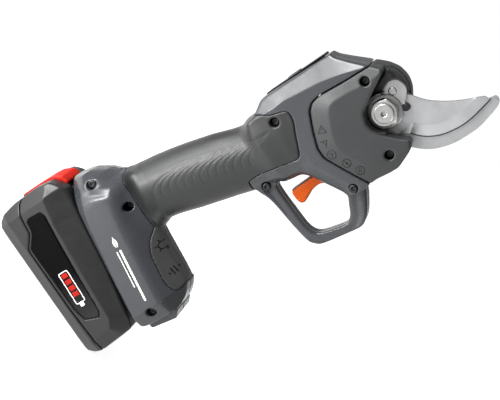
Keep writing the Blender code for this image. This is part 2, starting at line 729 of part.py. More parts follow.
def pivot_parts():
    centre = (PIVOT_X, PIVOT_Z)
    bolt = disc("shank", centre, BOLT_RADIUS, -19.0, FRAME_LAYER[1] + 1.0, sides=24, rim=0.8)
    join(bolt, disc("head", centre, 8.5, FRAME_LAYER[1] + GAP, FRAME_LAYER[1] + 5.0, sides=24))
    join(bolt, disc("end", centre, 7.4, -19.4, NUT_LAYER[0] - GAP, sides=24, rim=0.6))
    cut(bolt, disc("socket", centre, 2.9, -25.0, -16.6, sides=6, start=math.radians(20.0)))
    finished(bolt, "pivot_bolt", "bright_steel")
    nut = disc("nut", centre, 10.1, *NUT_LAYER, sides=6, start=math.radians(20.0))
    keep(nut, disc("round", centre, 9.6, NUT_LAYER[0], NUT_LAYER[1], sides=24, rim=0.9))
    join(nut, disc("flange", centre, 12.0, *FLANGE_LAYER, sides=32, rim=0.5))
    cut(nut, disc("bore", centre, BOLT_RADIUS + GAP, -30.0, 0.0, sides=24))
    finished(nut, "pivot_nut", "bright_steel")
    bush = disc("bush", centre, 6.5, PLATE_LAYER[0] + 0.1, BLADE_LAYER[1] - 0.1, sides=24)
    cut(bush, disc("bore", centre, BOLT_RADIUS + GAP, -30.0, 0.0, sides=24))
    finished(bush, "blade_bush", "bronze")
    for name, place, kind in (("drive_rivet", RIVET, "steel"), ("drive_pin", DRIVE_PIN, "black_steel")):
        finished(disc("pin", place, 2.6, -9.0, BLADE_LAYER[1] - 0.1, sides=16, rim=0.3), name, kind)
    outline = ((46.8, 258.5), (52.5, 257.5), (55.5, 262.0), (52.6, 266.2), (47.2, 262.4))
    finished(prism("bumper", outline, -6.6, -2.7), "blade_bumper", "rubber")


# ---------------------------------------------------------------- motor and gearbox


def hollow_rod(name, near, far, radius, bore, kind, sides=32):
    tube = rod("tube", near, far, radius, sides=sides)
    cut(tube, rod("bore", near - 5.0, far + 5.0, bore, sides=sides))
    return finished(tube, name, kind)


CASE_RADIUS = 16.6
RING_RADIUS = 15.2
MOTOR_RADIUS = 11.8
SHAFT_RADIUS = 1.6


def gearbox():
    case = rod("case", GEARBOX_NEAR, GEARBOX_FAR, CASE_RADIUS, sides=32)
    cut(case, rod("bore", GEARBOX_NEAR + 1.8, GEARBOX_FAR + 5.0, RING_RADIUS + GAP, sides=32))
    cut(case, rod("nose", GEARBOX_NEAR - 5.0, GEARBOX_NEAR + 5.0, 4.2, sides=20))
    finished(case, "gearbox_case", "steel")

    ring = rod("ring", PLANET_NEAR - 0.4, PLANET_FAR + 0.4, RING_RADIUS, sides=42)
    teeth = gear_outline(RING_TEETH, PLANET_MODULE, 0.7, 0.55, -BACKLASH, 0.0)
    cut(ring, along_drive("teeth", [(PLANET_NEAR - 3.0, teeth), (PLANET_FAR + 3.0, teeth)]))
    finished(ring, "ring_gear", "steel")

    sun = gear_outline(SUN_TEETH, PLANET_MODULE, 0.5, 0.65, BACKLASH, 0.0)
    gear = along_drive("sun", [(PLANET_NEAR, sun), (PLANET_FAR + 2.6, sun)])
    cut(gear, rod("bore", 0.0, 200.0, SHAFT_RADIUS + GAP, sides=16))
    finished(gear, "sun_gear", "steel")

    carrier = rod("carrier", CARRIER_NEAR, CARRIER_FAR, 12.4, sides=32)
    for turn in PLANET_ANGLES:
        join(carrier, rod("post", CARRIER_FAR - 0.5, PLANET_FAR - 0.3, 1.9, sides=12, centre=orbit(turn)))
    cut(carrier, rod("bore", CARRIER_NEAR - 1.0, CARRIER_NEAR + 1.6, 3.5, sides=16))
    finished(carrier, "planet_carrier", "steel")

    for number, turn in enumerate(PLANET_ANGLES, 1):
        outline = gear_outline(PLANET_TEETH, PLANET_MODULE, 0.45, 0.65, BACKLASH, turn)
        x, y = orbit(turn)
        outline = [(x + across, y + side) for across, side in outline]
        planet = along_drive("planet", [(PLANET_NEAR, outline), (PLANET_FAR, outline)])
        cut(planet, rod("bore", 0.0, 200.0, 2.3, sides=16, centre=(x, y)))
        finished(planet, "planet_gear_%d" % number, "steel")


def orbit(turn):
    angle = math.radians(turn)
    return (PLANET_ORBIT * math.cos(angle), PLANET_ORBIT * math.sin(angle))


def motor():
    can = rod("can", MOTOR_NEAR, MOTOR_FAR, MOTOR_RADIUS, sides=32)
    cut(can, rod("bore", MOTOR_NEAR + 4.5, MOTOR_FAR - 3.0, 7.4, sides=24))
    cut(can, rod("hole", MOTOR_NEAR - 5.0, MOTOR_FAR + 5.0, SHAFT_RADIUS + 1.4, sides=16))
    finished(can, "motor_stator", "copper")
    rotor = rod("rotor", MOTOR_NEAR + 5.2, MOTOR_FAR - 4.0, 6.8, sides=24)
    join(rotor, rod("shaft", PLANET_NEAR + 0.6, MOTOR_FAR - 1.0, SHAFT_RADIUS, sides=16))
    finished(rotor, "motor_rotor", "steel")
    hollow_rod("pinion_bearing", BEARING_NEAR, BEARING_FAR, 7.6, 3.2 + GAP, "bright_steel", sides=24)


def boards():
    outline = [(-11.0, -0.8), (11.0, -0.8), (11.0, 0.8), (-11.0, 0.8)]
    board = along_drive("board", [(BOARD_NEAR, outline), (BOARD_FAR, outline)])
    for near, across in ((116.0, -6.0), (128.0, 5.0), (140.0, -5.0), (152.0, 3.0)):
        chip = [(across - 3.5, 0.4), (across + 3.5, 0.4), (across + 3.5, 3.6), (across - 3.5, 3.6)]
        join(board, along_drive("chip", [(near, chip), (near + 7.0, chip)]))
    finished(board, "control_board", "board")


# ---------------------------------------------------------------- battery pack

BATTERY = (
    (-53.0, 0.0), (50.5, 0.0), (54.6, 4.6), (56.2, 11.5), (55.4, 26.0), (54.6, 37.0), (47.4, 40.2),
    (9.0, 47.3), (-21.5, 51.6), (-45.4, 55.0), (-51.8, 55.6), (-57.6, 51.8), (-61.5, 48.0),
    (-63.2, 38.0), (-62.8, 18.9), (-60.6, 8.0), (-57.4, 2.4),
)
PARTING = (
    (-70.0, 25.9), (-62.4, 25.9), (-59.6, 22.5), (-53.2, 19.5), (-46.9, 18.6), (-39.8, 17.8),
    (-35.4, 14.3), (-31.2, 10.6), (-28.2, 9.8), (19.4, 10.0), (50.2, 11.5), (70.0, 12.4),
)
LABEL = (
    (-48.6, 21.2), (-47.6, 35.0), (-22.5, 31.9), (5.3, 29.2), (36.3, 26.7), (30.8, 12.9), (-27.5, 11.7),
    (-30.6, 12.2), (-35.6, 16.6), (-39.6, 20.0),
)
LABEL_DEPTH = 1.2
BLADE_SIDES = (-8.0, 0.0, 8.0)
BUTTON_POCKET = ((-80.0, -17.3, 42.0), (-50.0, 17.3, 80.0))
TERMINAL_CHANNEL = ((-3.0, -12.5, 37.6), (80.0, 12.5, 80.0))


def grown(bounds, amount):
    low, high = bounds
    return tuple(value - amount for value in low), tuple(value + amount for value in high)


def battery_solid():
    half = BATTERY_HALF_WIDTH
    solid = prism("battery", BATTERY, -half, half, near_rim=4.0, far_rim=4.0, slope=0.8)
    hollow = prism("hollow", inset(BATTERY, WALL + 0.4), -half + 3.6, half - 3.6)
    for bounds in (BUTTON_POCKET, TERMINAL_CHANNEL):
        cut(hollow, box("keep", *grown(bounds, WALL)))
    return cut(solid, hollow)


def battery_shells():
    whole = battery_solid()
    lower = copy_of(whole)
    below = tuple(PARTING) + ((70.0, -20.0), (-70.0, -20.0))
    above = tuple(PARTING) + ((70.0, 120.0), (-70.0, 120.0))
    keep(lower, prism("below", inset(below, GAP / 2), -FAR, FAR))
    upper = keep(whole, prism("above", inset(above, GAP / 2), -FAR, FAR))
    for bounds in (BUTTON_POCKET, TERMINAL_CHANNEL):
        cut(upper, box("space", *bounds))
    for side, sign in SIDES:
        face = sign * BATTERY_HALF_WIDTH
        cut(upper, prism("recess", LABEL, face + sign * 5.0, face - sign * LABEL_DEPTH))
        label = prism("label", inset(LABEL, GAP), face + sign * 0.1, face - sign * (LABEL_DEPTH - GAP))
        finished(label, "battery_label_" + side, "label")
    largest_only(upper)
    largest_only(lower)
    finished(lower, "battery_lower_shell", "battery")
    finished(upper, "battery_upper_shell", "battery")


def cells():
    for number in range(5):
        x = (number - 2) * CELL_PITCH - 3.0
        end = CELL_LENGTH / 2
        cell = disc("cell", (x, CELL_HEIGHT), CELL_RADIUS, -end, end, sides=20, rim=0.6)
        finished(cell, "cell_%d" % (number + 1), "cell")


def terminals():
    block = box("block", (-5.8, -12.4, 52.6), (21.0, 12.4, 57.6))
    contacts = box("contacts", (-1.8, -11.8, 37.9), (14.0, 11.8, 43.0))
    for y in BLADE_SIDES:
        join(block, box("blade", (0.0, y - 0.5, 40.0), (12.0, y + 0.5, 53.6)))
        cut(contacts, box("slot", (-0.6, y - 0.85, 39.2), (20.0, y + 0.85, 60.0)))
    finished(block, "terminal_block", "bronze")
    finished(contacts, "battery_contacts", "bronze")


def release_button():
    outline = (
        (-62.6, 43.4), (-56.6, 43.4), (-53.6, 46.0), (-53.4, 56.6), (-55.4, 57.2), (-58.4, 54.6), (-62.2, 49.6),
    )
    button = prism("button", outline, -17.0, 17.0, near_rim=1.2, far_rim=1.2)
    finished(button, "release_button", "red")
    coil("latch_spring", (-53.0, 0.0, 48.0), (-50.4, 0.0, 48.0), 2.2, 0.3, 3)


def trigger_spring():
    """A compression spring between the trigger's back and the handle."""
    coil("trigger_spring", (26.7, 0.0, 194.0), (32.2, 0.0, 194.0), 2.6, 0.35, 4)


# ---------------------------------------------------------------- the assembly


def pivot_empty(name, place, names):
    """An empty on a joint's axis, which carries the pieces that turn about it."""
    empty = bpy.data.objects.new(name, None)
    empty.empty_display_size = 0.01
    empty.location = [value * MM for value in place]
    bpy.context.scene.collection.objects.link(empty)
    for child in names:
        piece = bpy.data.objects[child]
        piece.parent = empty
        piece.matrix_parent_inverse = mathutils.Matrix.Translation(empty.location).inverted()
    return empty


def build():
    for item in list(bpy.data.objects):
        bpy.data.objects.remove(item)
    housings_and_covers()
    grips()
    front_pad()
    control_panel()
    screws()
    trigger()
    trigger_spring()
    drive_gear()
    cutting_blade()
    counter_blade()
    head_frame()
    pivot_parts()
    bevel_pinion()
    gearbox()
    motor()
    boards()
    battery_shells()
    cells()
    terminals()
    release_button()

    pivot_empty("blade_pivot", (PIVOT_X, 0.0, PIVOT_Z),
                ("cutting_blade", "drive_gear", "drive_rivet", "drive_pin", "blade_bush"))
    pivot_empty("pinion_axis", drive_point(PINION_NEAR), ("bevel_pinion", "planet_carrier"))
    pivot_empty("rotor_axis", drive_point(MOTOR_NEAR), ("motor_rotor", "sun_gear"))
    for number, turn in enumerate(PLANET_ANGLES, 1):
        place = drive_point(PLANET_NEAR, *orbit(turn))
        pivot_empty("planet_axis_%d" % number, place, ("planet_gear_%d" % number,))
    x, z = TRIGGER_PIVOT
    pivot_empty("trigger_axis", (x, 0.0, z), ("trigger", "trigger_insert"))


build()
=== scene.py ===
"""Battery electric pruner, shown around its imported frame.

Shell pieces are distance fields in millimetres, turned into meshes by surface nets.
x runs towards the trigger, z along the tool towards the blades, y across it.
"""

import functools
import json
import math

import bmesh
import bpy
import mathutils
import numpy as np
from mathutils import Matrix, Vector


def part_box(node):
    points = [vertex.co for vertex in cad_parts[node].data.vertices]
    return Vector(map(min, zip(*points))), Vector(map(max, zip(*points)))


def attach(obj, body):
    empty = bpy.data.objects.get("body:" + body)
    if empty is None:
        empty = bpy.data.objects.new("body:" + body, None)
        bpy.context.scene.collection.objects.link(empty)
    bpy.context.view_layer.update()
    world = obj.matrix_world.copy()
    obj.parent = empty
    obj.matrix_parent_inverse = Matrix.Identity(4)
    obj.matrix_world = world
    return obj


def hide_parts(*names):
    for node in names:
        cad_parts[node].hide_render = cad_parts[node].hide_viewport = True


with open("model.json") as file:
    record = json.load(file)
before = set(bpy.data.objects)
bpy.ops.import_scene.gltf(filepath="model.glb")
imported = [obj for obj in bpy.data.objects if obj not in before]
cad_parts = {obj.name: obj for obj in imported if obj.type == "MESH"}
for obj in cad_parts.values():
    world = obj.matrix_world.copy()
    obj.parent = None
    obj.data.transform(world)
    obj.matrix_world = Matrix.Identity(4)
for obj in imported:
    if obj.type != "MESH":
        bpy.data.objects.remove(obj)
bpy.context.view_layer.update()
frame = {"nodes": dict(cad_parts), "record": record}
MM = 0.001
NEAR_STEP = 0.6
FAR_STEP = 1.0
NEAR, AWAY = -1.0, 1.0
WALL = 2.4


# ---------------------------------------------------------------- fields

class Grid:
    """Sample points of a box in millimetres."""

    def __init__(self, low, high, step):
        self.low = np.array(low, float) - 2.5 * step
        counts = np.ceil((np.array(high, float) - self.low) / step + 3.5).astype(int)
        axes = [self.low[i] + step * np.arange(counts[i]) for i in range(3)]
        self.step = step
        self.x = axes[0][:, None, None].astype(np.float32)
        self.y = axes[1][None, :, None].astype(np.float32)
        self.z = axes[2][None, None, :].astype(np.float32)
        self.shape = tuple(counts)


def chaikin(points, rounds=2, share=0.25):
    """The outline with its corners cut again and again, which makes a curve."""
    points = np.array(points, float)
    for _ in range(rounds):
        following = np.roll(points, -1, axis=0)
        first = points + share * (following - points)
        second = following + share * (points - following)
        points = np.stack([first, second], axis=1).reshape(-1, 2)
    return points


def chaikin_open(points, rounds=2):
    points = np.array(points, float)
    for _ in range(rounds):
        first = points[:-1] * 0.75 + points[1:] * 0.25
        second = points[:-1] * 0.25 + points[1:] * 0.75
        points = np.concatenate([points[:1], np.stack([first, second], axis=1).reshape(-1, 2), points[-1:]])
    return [tuple(point) for point in points]


def distance(x, z, points, closed=True):
    """Distance to an outline in the x-z plane, negative inside a closed one."""
    x, z = np.broadcast_arrays(x, z)
    best = np.full(x.shape, 1e9, np.float32)
    inside = np.zeros(x.shape, bool)
    points = [tuple(point) for point in points]
    ends = points[1:] + points[:1] if closed else points[1:]
    for (ax, az), (bx, bz) in zip(points, ends):
        dx, dz = bx - ax, bz - az
        size = dx * dx + dz * dz
        if size < 1e-12:
            continue
        share = np.clip(((x - ax) * dx + (z - az) * dz) / size, 0.0, 1.0)
        best = np.minimum(best, (x - ax - share * dx) ** 2 + (z - az - share * dz) ** 2)
        if closed and az != bz:
            inside ^= ((az > z) != (bz > z)) & (x < (bx - ax) * (z - az) / dz + ax)
    best = np.sqrt(best)
    return np.where(inside, -best, best) if closed else best


def union(a, b, blend=0.0):
    if not blend:
        return np.minimum(a, b)
    near = np.maximum(blend - np.abs(a - b), 0.0) / blend
    return np.minimum(a, b) - near * near * blend * 0.25


def together(*fields):
    return functools.reduce(np.minimum, fields)


def common(a, b, blend=0.0):
    return -union(-a, -b, blend)


def without(a, b, blend=0.0):
    return common(a, -b, blend)


def slab(across, along, rounding):
    """Two crossing limits joined with a rounded edge."""
    a, b = across + rounding, along + rounding
    outer = np.sqrt(np.maximum(a, 0.0) ** 2 + np.maximum(b, 0.0) ** 2)
    return np.minimum(np.maximum(a, b), 0.0) + outer - rounding


def peg(grid, centre, radius, low, high, rounding=0.0):
    """A cylinder along y between two depths."""
    across = np.hypot(grid.x - centre[0], grid.z - centre[1]) - radius
    along = np.abs(grid.y - (low + high) / 2) - abs(high - low) / 2
    return slab(across, along, rounding)


def brick(grid, low, high, rounding=0.0):
    parts = []
    for axis, a, b in zip((grid.x, grid.y, grid.z), low, high):
        parts.append(np.abs(axis - (a + b) / 2) - (b - a) / 2 + rounding)
    x, y, z = parts
    outer = np.sqrt(np.maximum(x, 0) ** 2 + np.maximum(y, 0) ** 2 + np.maximum(z, 0) ** 2)
    return outer + np.minimum(np.maximum(np.maximum(x, y), z), 0.0) - rounding


# ---------------------------------------------------------------- meshes

CORNERS = [(i, j, k) for i in (0, 1) for j in (0, 1) for k in (0, 1)]
EDGES = [(a, b) for a in CORNERS for b in CORNERS if a < b and sum(abs(p - q) for p, q in zip(a, b)) == 1]


def corner_of(field, corner):
    i, j, k = corner
    nx, ny, nz = field.shape
    return field[i:nx - 1 + i, j:ny - 1 + j, k:nz - 1 + k]


def nets(field, grid):
    """Vertices in millimetres and the quads of the zero surface."""
    field = np.ascontiguousarray(np.broadcast_to(field, grid.shape), np.float32).copy()
    for axis in range(3):
        for end in (0, -1):
            layer = [slice(None)] * 3
            layer[axis] = end
            field[tuple(layer)] = grid.step
    inside = field < 0
    count = sum(corner_of(inside, corner).astype(np.int8) for corner in CORNERS)
    cells = np.nonzero((count > 0) & (count < 8))
    index = np.full(count.shape, -1, np.int64)
    index[cells] = np.arange(len(cells[0]))
    values = {corner: corner_of(field, corner)[cells] for corner in CORNERS}
    place, hits = np.zeros((len(cells[0]), 3)), np.zeros(len(cells[0]))
    for a, b in EDGES:
        crossed = (values[a] < 0) != (values[b] < 0)
        share = np.where(crossed, values[a] / np.where(crossed, values[a] - values[b], 1.0), 0.0)
        spot = np.array(a) + share[:, None] * (np.array(b) - np.array(a))
        place += spot * crossed[:, None]
        hits += crossed
    points = (np.stack(cells, axis=1) + place / hits[:, None])
    points = settle(field, points)
    quads = []
    for axis in range(3):
        u, v = [other for other in range(3) if other != axis]
        low = [slice(1, -1)] * 3
        high = [slice(1, -1)] * 3
        low[axis], high[axis] = slice(0, -1), slice(1, None)
        start, end = inside[tuple(low)], inside[tuple(high)]
        spots = np.stack(np.nonzero(start != end), axis=1)
        leaving = start[tuple(spots.T)]
        offset = np.ones(3, int)
        offset[axis] = 0
        spots = spots + offset
        ring = []
        for du, dv in ((1, 1), (0, 1), (0, 0), (1, 0)):
            shift = np.zeros(3, int)
            shift[u], shift[v] = du, dv
            ring.append(index[tuple((spots - shift).T)])
        quad = np.stack(ring, axis=1)
        turned = leaving if axis != 1 else ~leaving
        quad[~turned] = quad[~turned][:, ::-1]
        quads.append(quad)
    quads = np.concatenate(quads)
    return grid.low + grid.step * relaxed(points, quads), quads


def relaxed(points, quads, rounds=2, share=0.35):
    """Evens out the small steps that the grid leaves in a surface."""
    start, end = quads.ravel(), np.roll(quads, -1, axis=1).ravel()
    both, other = np.concatenate([start, end]), np.concatenate([end, start])
    count = np.maximum(np.bincount(both, minlength=len(points)), 1)
    for _ in range(rounds):
        sums = [np.bincount(both, weights=points[other, axis], minlength=len(points)) for axis in range(3)]
        points = points + share * (np.stack(sums, axis=1) / count[:, None] - points)
    return points


def settle(field, points, rounds=2):
    """Moves the points onto the surface, at most half a cell."""
    start = points.copy()
    limit = np.array(field.shape) - 1.001
    for _ in range(rounds):
        value, slope = sampled(field, np.clip(points, 0, limit))
        size = np.maximum((slope ** 2).sum(axis=1), 0.05)
        points = points - (value / size)[:, None] * slope * 0.9
        points = start + np.clip(points - start, -0.5, 0.5)
    return points


def sampled(field, points):
    cell = points.astype(int)
    share = points - cell
    value, slope = 0.0, np.zeros(points.shape)
    for corner in CORNERS:
        weights = [share[:, n] if corner[n] else 1 - share[:, n] for n in range(3)]
        spot = field[cell[:, 0] + corner[0], cell[:, 1] + corner[1], cell[:, 2] + corner[2]]
        value = value + spot * weights[0] * weights[1] * weights[2]
        for n in range(3):
            others = [weights[m] for m in range(3) if m != n]
            slope[:, n] += spot * (1 if corner[n] else -1) * others[0] * others[1]
    return value, slope


def mesh_object(name, points, faces):
    mesh = bpy.data.meshes.new(name)
    faces = np.asarray(faces)
    sides = faces.shape[1]
    mesh.vertices.add(len(points))
    mesh.vertices.foreach_set("co", (np.asarray(points) * MM).astype(np.float32).ravel())
    mesh.loops.add(faces.size)
    mesh.loops.foreach_set("vertex_index", faces.astype(np.int32).ravel())
    mesh.polygons.add(len(faces))
    mesh.polygons.foreach_set("loop_start", np.arange(0, faces.size, sides, dtype=np.int32))
    mesh.polygons.foreach_set("use_smooth", np.ones(len(faces), bool))
    mesh.update(calc_edges=True)
    mesh.validate()
    made = bpy.data.objects.new(name, mesh)
    bpy.context.scene.collection.objects.link(made)
    return made


def largest(points, faces):
    """Only the biggest connected part of a mesh."""
    label = np.arange(len(points))
    while True:
        lowest = label[faces].min(axis=1)
        fresh = label.copy()
        np.minimum.at(fresh, faces.ravel(), np.repeat(lowest, faces.shape[1]))
        fresh = fresh[fresh]
        if (fresh == label).all():
            break
        label = fresh
    main = np.bincount(label).argmax()
    faces = faces[label[faces[:, 0]] == main]
    used = np.unique(faces)
    position = np.full(len(points), -1)
    position[used] = np.arange(len(used))
    return points[used], position[faces]


def piece(name, field, grid, material, body, nodes=(), whole=False):
    """A finished piece from a field, riding on a body and standing for its CAD nodes."""
    points, faces = nets(field, grid)
    if not whole:
        points, faces = largest(points, faces)
    return finish_piece(mesh_object(name, points, faces), material, body, nodes)


def finish_piece(made, material, body, nodes=()):
    made.data.materials.clear()
    made.data.materials.append(material)
    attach(made, body)
    if nodes:
        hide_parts(*nodes)
    return made


# ---------------------------------------------------------------- materials

def linear(colour):
    """0-255 screen values as the linear colour that shaders take."""
    return tuple((c / 255 / 12.92 if c < 11 else ((c / 255 + 0.055) / 1.055) ** 2.4) for c in colour) + (1.0,)


class Shader:
    """A Principled material and short ways to wire textures into it."""

    def __init__(self, name, roughness, metallic=0.0, specular=0.5):
        self.material = bpy.data.materials.new(name)
        self.material.use_nodes = True
        self.nodes = self.material.node_tree.nodes
        self.links = self.material.node_tree.links
        self.main = self.nodes["Principled BSDF"]
        self.main.inputs["Roughness"].default_value = roughness
        self.main.inputs["Metallic"].default_value = metallic
        self.main.inputs["Specular IOR Level"].default_value = specular
        self.place = self.nodes.new("ShaderNodeTexCoord").outputs["Object"]

    def noise(self, scale, detail=3.0, stretch=None, turn=(0, 0, 0)):
        source = self.place
        if stretch:
            mapping = self.nodes.new("ShaderNodeMapping")
            mapping.inputs["Scale"].default_value = stretch
            mapping.inputs["Rotation"].default_value = turn
            self.links.new(source, mapping.inputs["Vector"])
            source = mapping.outputs["Vector"]
        texture = self.nodes.new("ShaderNodeTexNoise")
        texture.inputs["Scale"].default_value = scale
        texture.inputs["Detail"].default_value = detail
        self.links.new(source, texture.inputs["Vector"])
        return texture.outputs["Fac"]

    def range(self, value, low, high, start=0.3, end=0.7):
        node = self.nodes.new("ShaderNodeMapRange")
        for socket, number in zip(("From Min", "From Max", "To Min", "To Max"), (start, end, low, high)):
            node.inputs[socket].default_value = number
        self.links.new(value, node.inputs["Value"])
        return node.outputs["Result"]

    def mix(self, factor, first, second):
        node = self.nodes.new("ShaderNodeMix")
        node.data_type = "RGBA"
        self.links.new(factor, node.inputs[0])
        for socket, colour in ((6, first), (7, second)):
            if isinstance(colour, tuple):
                node.inputs[socket].default_value = colour
            else:
                self.links.new(colour, node.inputs[socket])
        return node.outputs[2]

    def bumps(self, *layers):
        """Bump layers as (height, strength, distance in metres)."""
        normal = None
        for height, strength, depth in layers:
            node = self.nodes.new("ShaderNodeBump")
            node.inputs["Strength"].default_value = strength
            node.inputs["Distance"].default_value = depth
            self.links.new(height, node.inputs["Height"])
            if normal:
                self.links.new(normal, node.inputs["Normal"])
            normal = node.outputs["Normal"]
        self.links.new(normal, self.main.inputs["Normal"])

    def paint(self, socket, value):
        self.links.new(value, self.main.inputs[socket])


def moulded(name, colour, roughness=0.42, grain=2600.0, depth=0.25, tone=0.05, specular=0.5, wear=0.18):
    """Moulded plastic or rubber: fine spark-eroded grain, a mottled tone and lighter rubbed edges."""
    shader = Shader(name, roughness, specular=specular)
    dark = linear([c * (1 - tone) for c in colour])
    light = linear([min(c * (1 + tone), 255) for c in colour])
    base = shader.mix(shader.range(shader.noise(55.0), 0.0, 1.0), dark, light)
    edge = shader.nodes.new("ShaderNodeNewGeometry").outputs["Pointiness"]
    rub = shader.range(edge, 0.0, wear, 0.54, 0.64)
    pale = linear([min(c * 1.5 + 14, 255) for c in colour])
    shader.paint("Base Color", shader.mix(rub, base, pale))
    shader.paint("Roughness", shader.range(shader.noise(170.0, 4.0), roughness - 0.03, roughness + 0.04))
    fine, coarse = shader.noise(grain, 2.0), shader.noise(240.0, 2.0)
    shader.bumps((fine, depth * 0.5, 0.0001), (coarse, depth * 0.2, 0.0001))
    return shader.material


def metal(name, colour, roughness=0.28, lines=(2500.0, 60.0, 60.0), turn=(0, 0, 0), depth=0.12, tone=0.1):
    """Machined metal with fine parallel lines, faint stains and uneven polish."""
    shader = Shader(name, roughness, metallic=1.0)
    dark = linear([c * (1 - tone) for c in colour])
    light = linear([min(c * (1 + tone), 255) for c in colour])
    shader.paint("Base Color", shader.mix(shader.range(shader.noise(70.0, 5.0), 0.0, 1.0), dark, light))
    streak = shader.noise(1.0, 3.0, stretch=lines, turn=turn)
    shader.paint("Roughness", shader.range(streak, roughness - 0.03, roughness + 0.06))
    shader.bumps((streak, depth, 0.00006))
    return shader.material


HOUSING = moulded("housing_plastic", (50, 52, 55), 0.24, depth=0.1, tone=0.03)
COVER = moulded("cover_plastic", (38, 39, 40), 0.42, depth=0.22)
GRIP = moulded("grip_rubber", (26, 27, 27), 0.4, grain=1800.0, depth=0.35)
BATTERY = moulded("battery_plastic", (23, 23, 24), 0.38, depth=0.22)
GLOSS = moulded("black_gloss", (6, 6, 7), 0.3, depth=0.05, tone=0.15, specular=0.05, wear=0.02)


def paint_sheen_along(material, colour, start, end):
    """Painted sheen: blends the base colour towards another one between two places along x."""
    nodes, links = material.node_tree.nodes, material.node_tree.links
    target = nodes["Principled BSDF"].inputs["Base Color"]
    before = target.links[0].from_socket
    split = nodes.new("ShaderNodeSeparateXYZ")
    links.new(nodes["Texture Coordinate"].outputs["Object"], split.inputs["Vector"])
    share = nodes.new("ShaderNodeMapRange")
    share.inputs["From Min"].default_value = start
    share.inputs["From Max"].default_value = end
    links.new(split.outputs["X"], share.inputs["Value"])
    blend = nodes.new("ShaderNodeMix")
    blend.data_type = "RGBA"
    links.new(share.outputs["Result"], blend.inputs[0])
    links.new(before, blend.inputs[6])
    blend.inputs[7].default_value = linear(colour)
    links.new(blend.outputs[2], target)


# Painted sheen: the black gloss turns grey towards the front of the battery panel, standing in for a
# reflection.
paint_sheen_along(GLOSS, (44, 44, 44), 0.0, 0.034)
BLACK = moulded("black_plastic", (16, 16, 16), 0.42, depth=0.2, wear=0.12)
RUBBER = moulded("black_rubber", (50, 51, 50), 0.5, grain=1500.0, depth=0.4)
ORANGE = moulded("orange_plastic", (166, 66, 8), 0.45, depth=0.1, tone=0.04, specular=0.15, wear=0.05)
RED = moulded("red_plastic", (156, 22, 10), 0.45, depth=0.1, tone=0.04, specular=0.15, wear=0.05)
# Painted shade: the signs are near black, standing in for the shade inside engraved symbols.
ENGRAVING_SHADE = moulded("engraving_shade", (8, 8, 8), 0.5, depth=0.1, specular=0.2, wear=0.0)
WHITE = moulded("white_print", (228, 228, 224), 0.4, depth=0.08, tone=0.02, wear=0.0)
STEEL = metal("blade_steel", (176, 177, 178), 0.42, lines=(40.0, 40.0, 500.0), turn=(0, 0.5, 0), depth=0.008,
              tone=0.04)
BRIGHT = metal("plated_steel", (172, 172, 171), 0.34, lines=(300.0, 300.0, 300.0), depth=0.01, tone=0.04)
PLATE = metal("gear_steel", (176, 176, 176), 0.4, lines=(500.0, 500.0, 500.0), depth=0.03, tone=0.05)
DARK_STEEL = metal("black_steel", (58, 58, 60), 0.36, lines=(900.0, 900.0, 900.0), depth=0.1)
BRONZE = metal("sintered_bronze", (176, 128, 76), 0.42, lines=(1200.0, 1200.0, 1200.0))
COPPER = metal("copper_winding", (190, 110, 62), 0.35, lines=(80.0, 80.0, 3000.0), depth=0.5)
BOARD = moulded("circuit_board", (22, 84, 48), 0.4, grain=700.0, depth=0.5, tone=0.3)
CELL = moulded("cell_wrap", (60, 110, 160), 0.35, depth=0.1)
BY_SLOT = {
    "housing": HOUSING, "cover": COVER, "grip": GRIP, "battery": BATTERY, "label": GLOSS, "orange": ORANGE,
    "red": RED, "black": BLACK, "steel": PLATE, "bright_steel": BRIGHT, "black_steel": DARK_STEEL,
    "bronze": BRONZE, "copper": COPPER, "board": BOARD, "cell": CELL, "rubber": RUBBER,
}
SLOTS = {row["node"]: row["material_slot"] for row in frame["record"]["subparts"]}


def dress_nodes():
    for name, node in frame["nodes"].items():
        for holder in node.material_slots:
            holder.material = BY_SLOT[SLOTS[name]]


# ---------------------------------------------------------------- camera, floor and lights

ELEVATION, AZIMUTH, ROLL = (math.radians(angle) for angle in (15.0, -4.0, 56.5))
CAMERA_DISTANCE = 1.15
SENSOR_WIDTH, LENS = 36.0, 119.1
TARGET = Vector((0.02787, 0.0, 0.15125))


def camera():
    level = math.cos(ELEVATION)
    back = Vector((math.sin(AZIMUTH) * level, -math.cos(AZIMUTH) * level, math.sin(ELEVATION)))
    right = Vector((math.cos(AZIMUTH), math.sin(AZIMUTH), 0.0))
    above = back.cross(right)
    across = math.cos(ROLL) * right + math.sin(ROLL) * above
    upward = back.cross(across)
    data = bpy.data.cameras.new("camera")
    data.sensor_width, data.lens = SENSOR_WIDTH, LENS
    made = bpy.data.objects.new("camera", data)
    bpy.context.scene.collection.objects.link(made)
    turn = Matrix((across, upward, back)).transposed().to_4x4()
    made.matrix_world = Matrix.Translation(TARGET + back * CAMERA_DISTANCE) @ turn
    bpy.context.scene.camera = made


def lamp(name, way, power, size):
    """A soft light, placed from the target along the view's right, up and towards the camera."""
    right, up, back = bpy.context.scene.camera.matrix_world.to_3x3().transposed()
    place = TARGET + way[0] * right + way[1] * up + way[2] * back
    data = bpy.data.lights.new(name, "AREA")
    data.shape = "RECTANGLE"
    data.size, data.size_y = size
    data.energy = power
    made = bpy.data.objects.new(name, data)
    bpy.context.scene.collection.objects.link(made)
    made.location = place
    made.rotation_euler = (TARGET - place).to_track_quat("-Z", "Y").to_euler()


WORLD_LIGHT, FLOOR_GLOW = 0.32, 0.7
FLOOR_SIZE, FLOOR_DROP = 12.0, 0.0005
LAMPS = (
    # name, place to the right, up and towards the camera in metres, power, size
    ("key", (-0.35, 0.85, 0.55), 17.0, (0.9, 0.3)),
    ("strip", (-0.214, 0.102, 0.262), 0.9, (0.05, 0.16)),
    ("back_strip", (-0.327, 0.322, 0.277), 0.8, (0.1, 0.2)),
    ("low", (0.7, -0.7, 0.5), 3.0, (0.5, 0.5)),
)


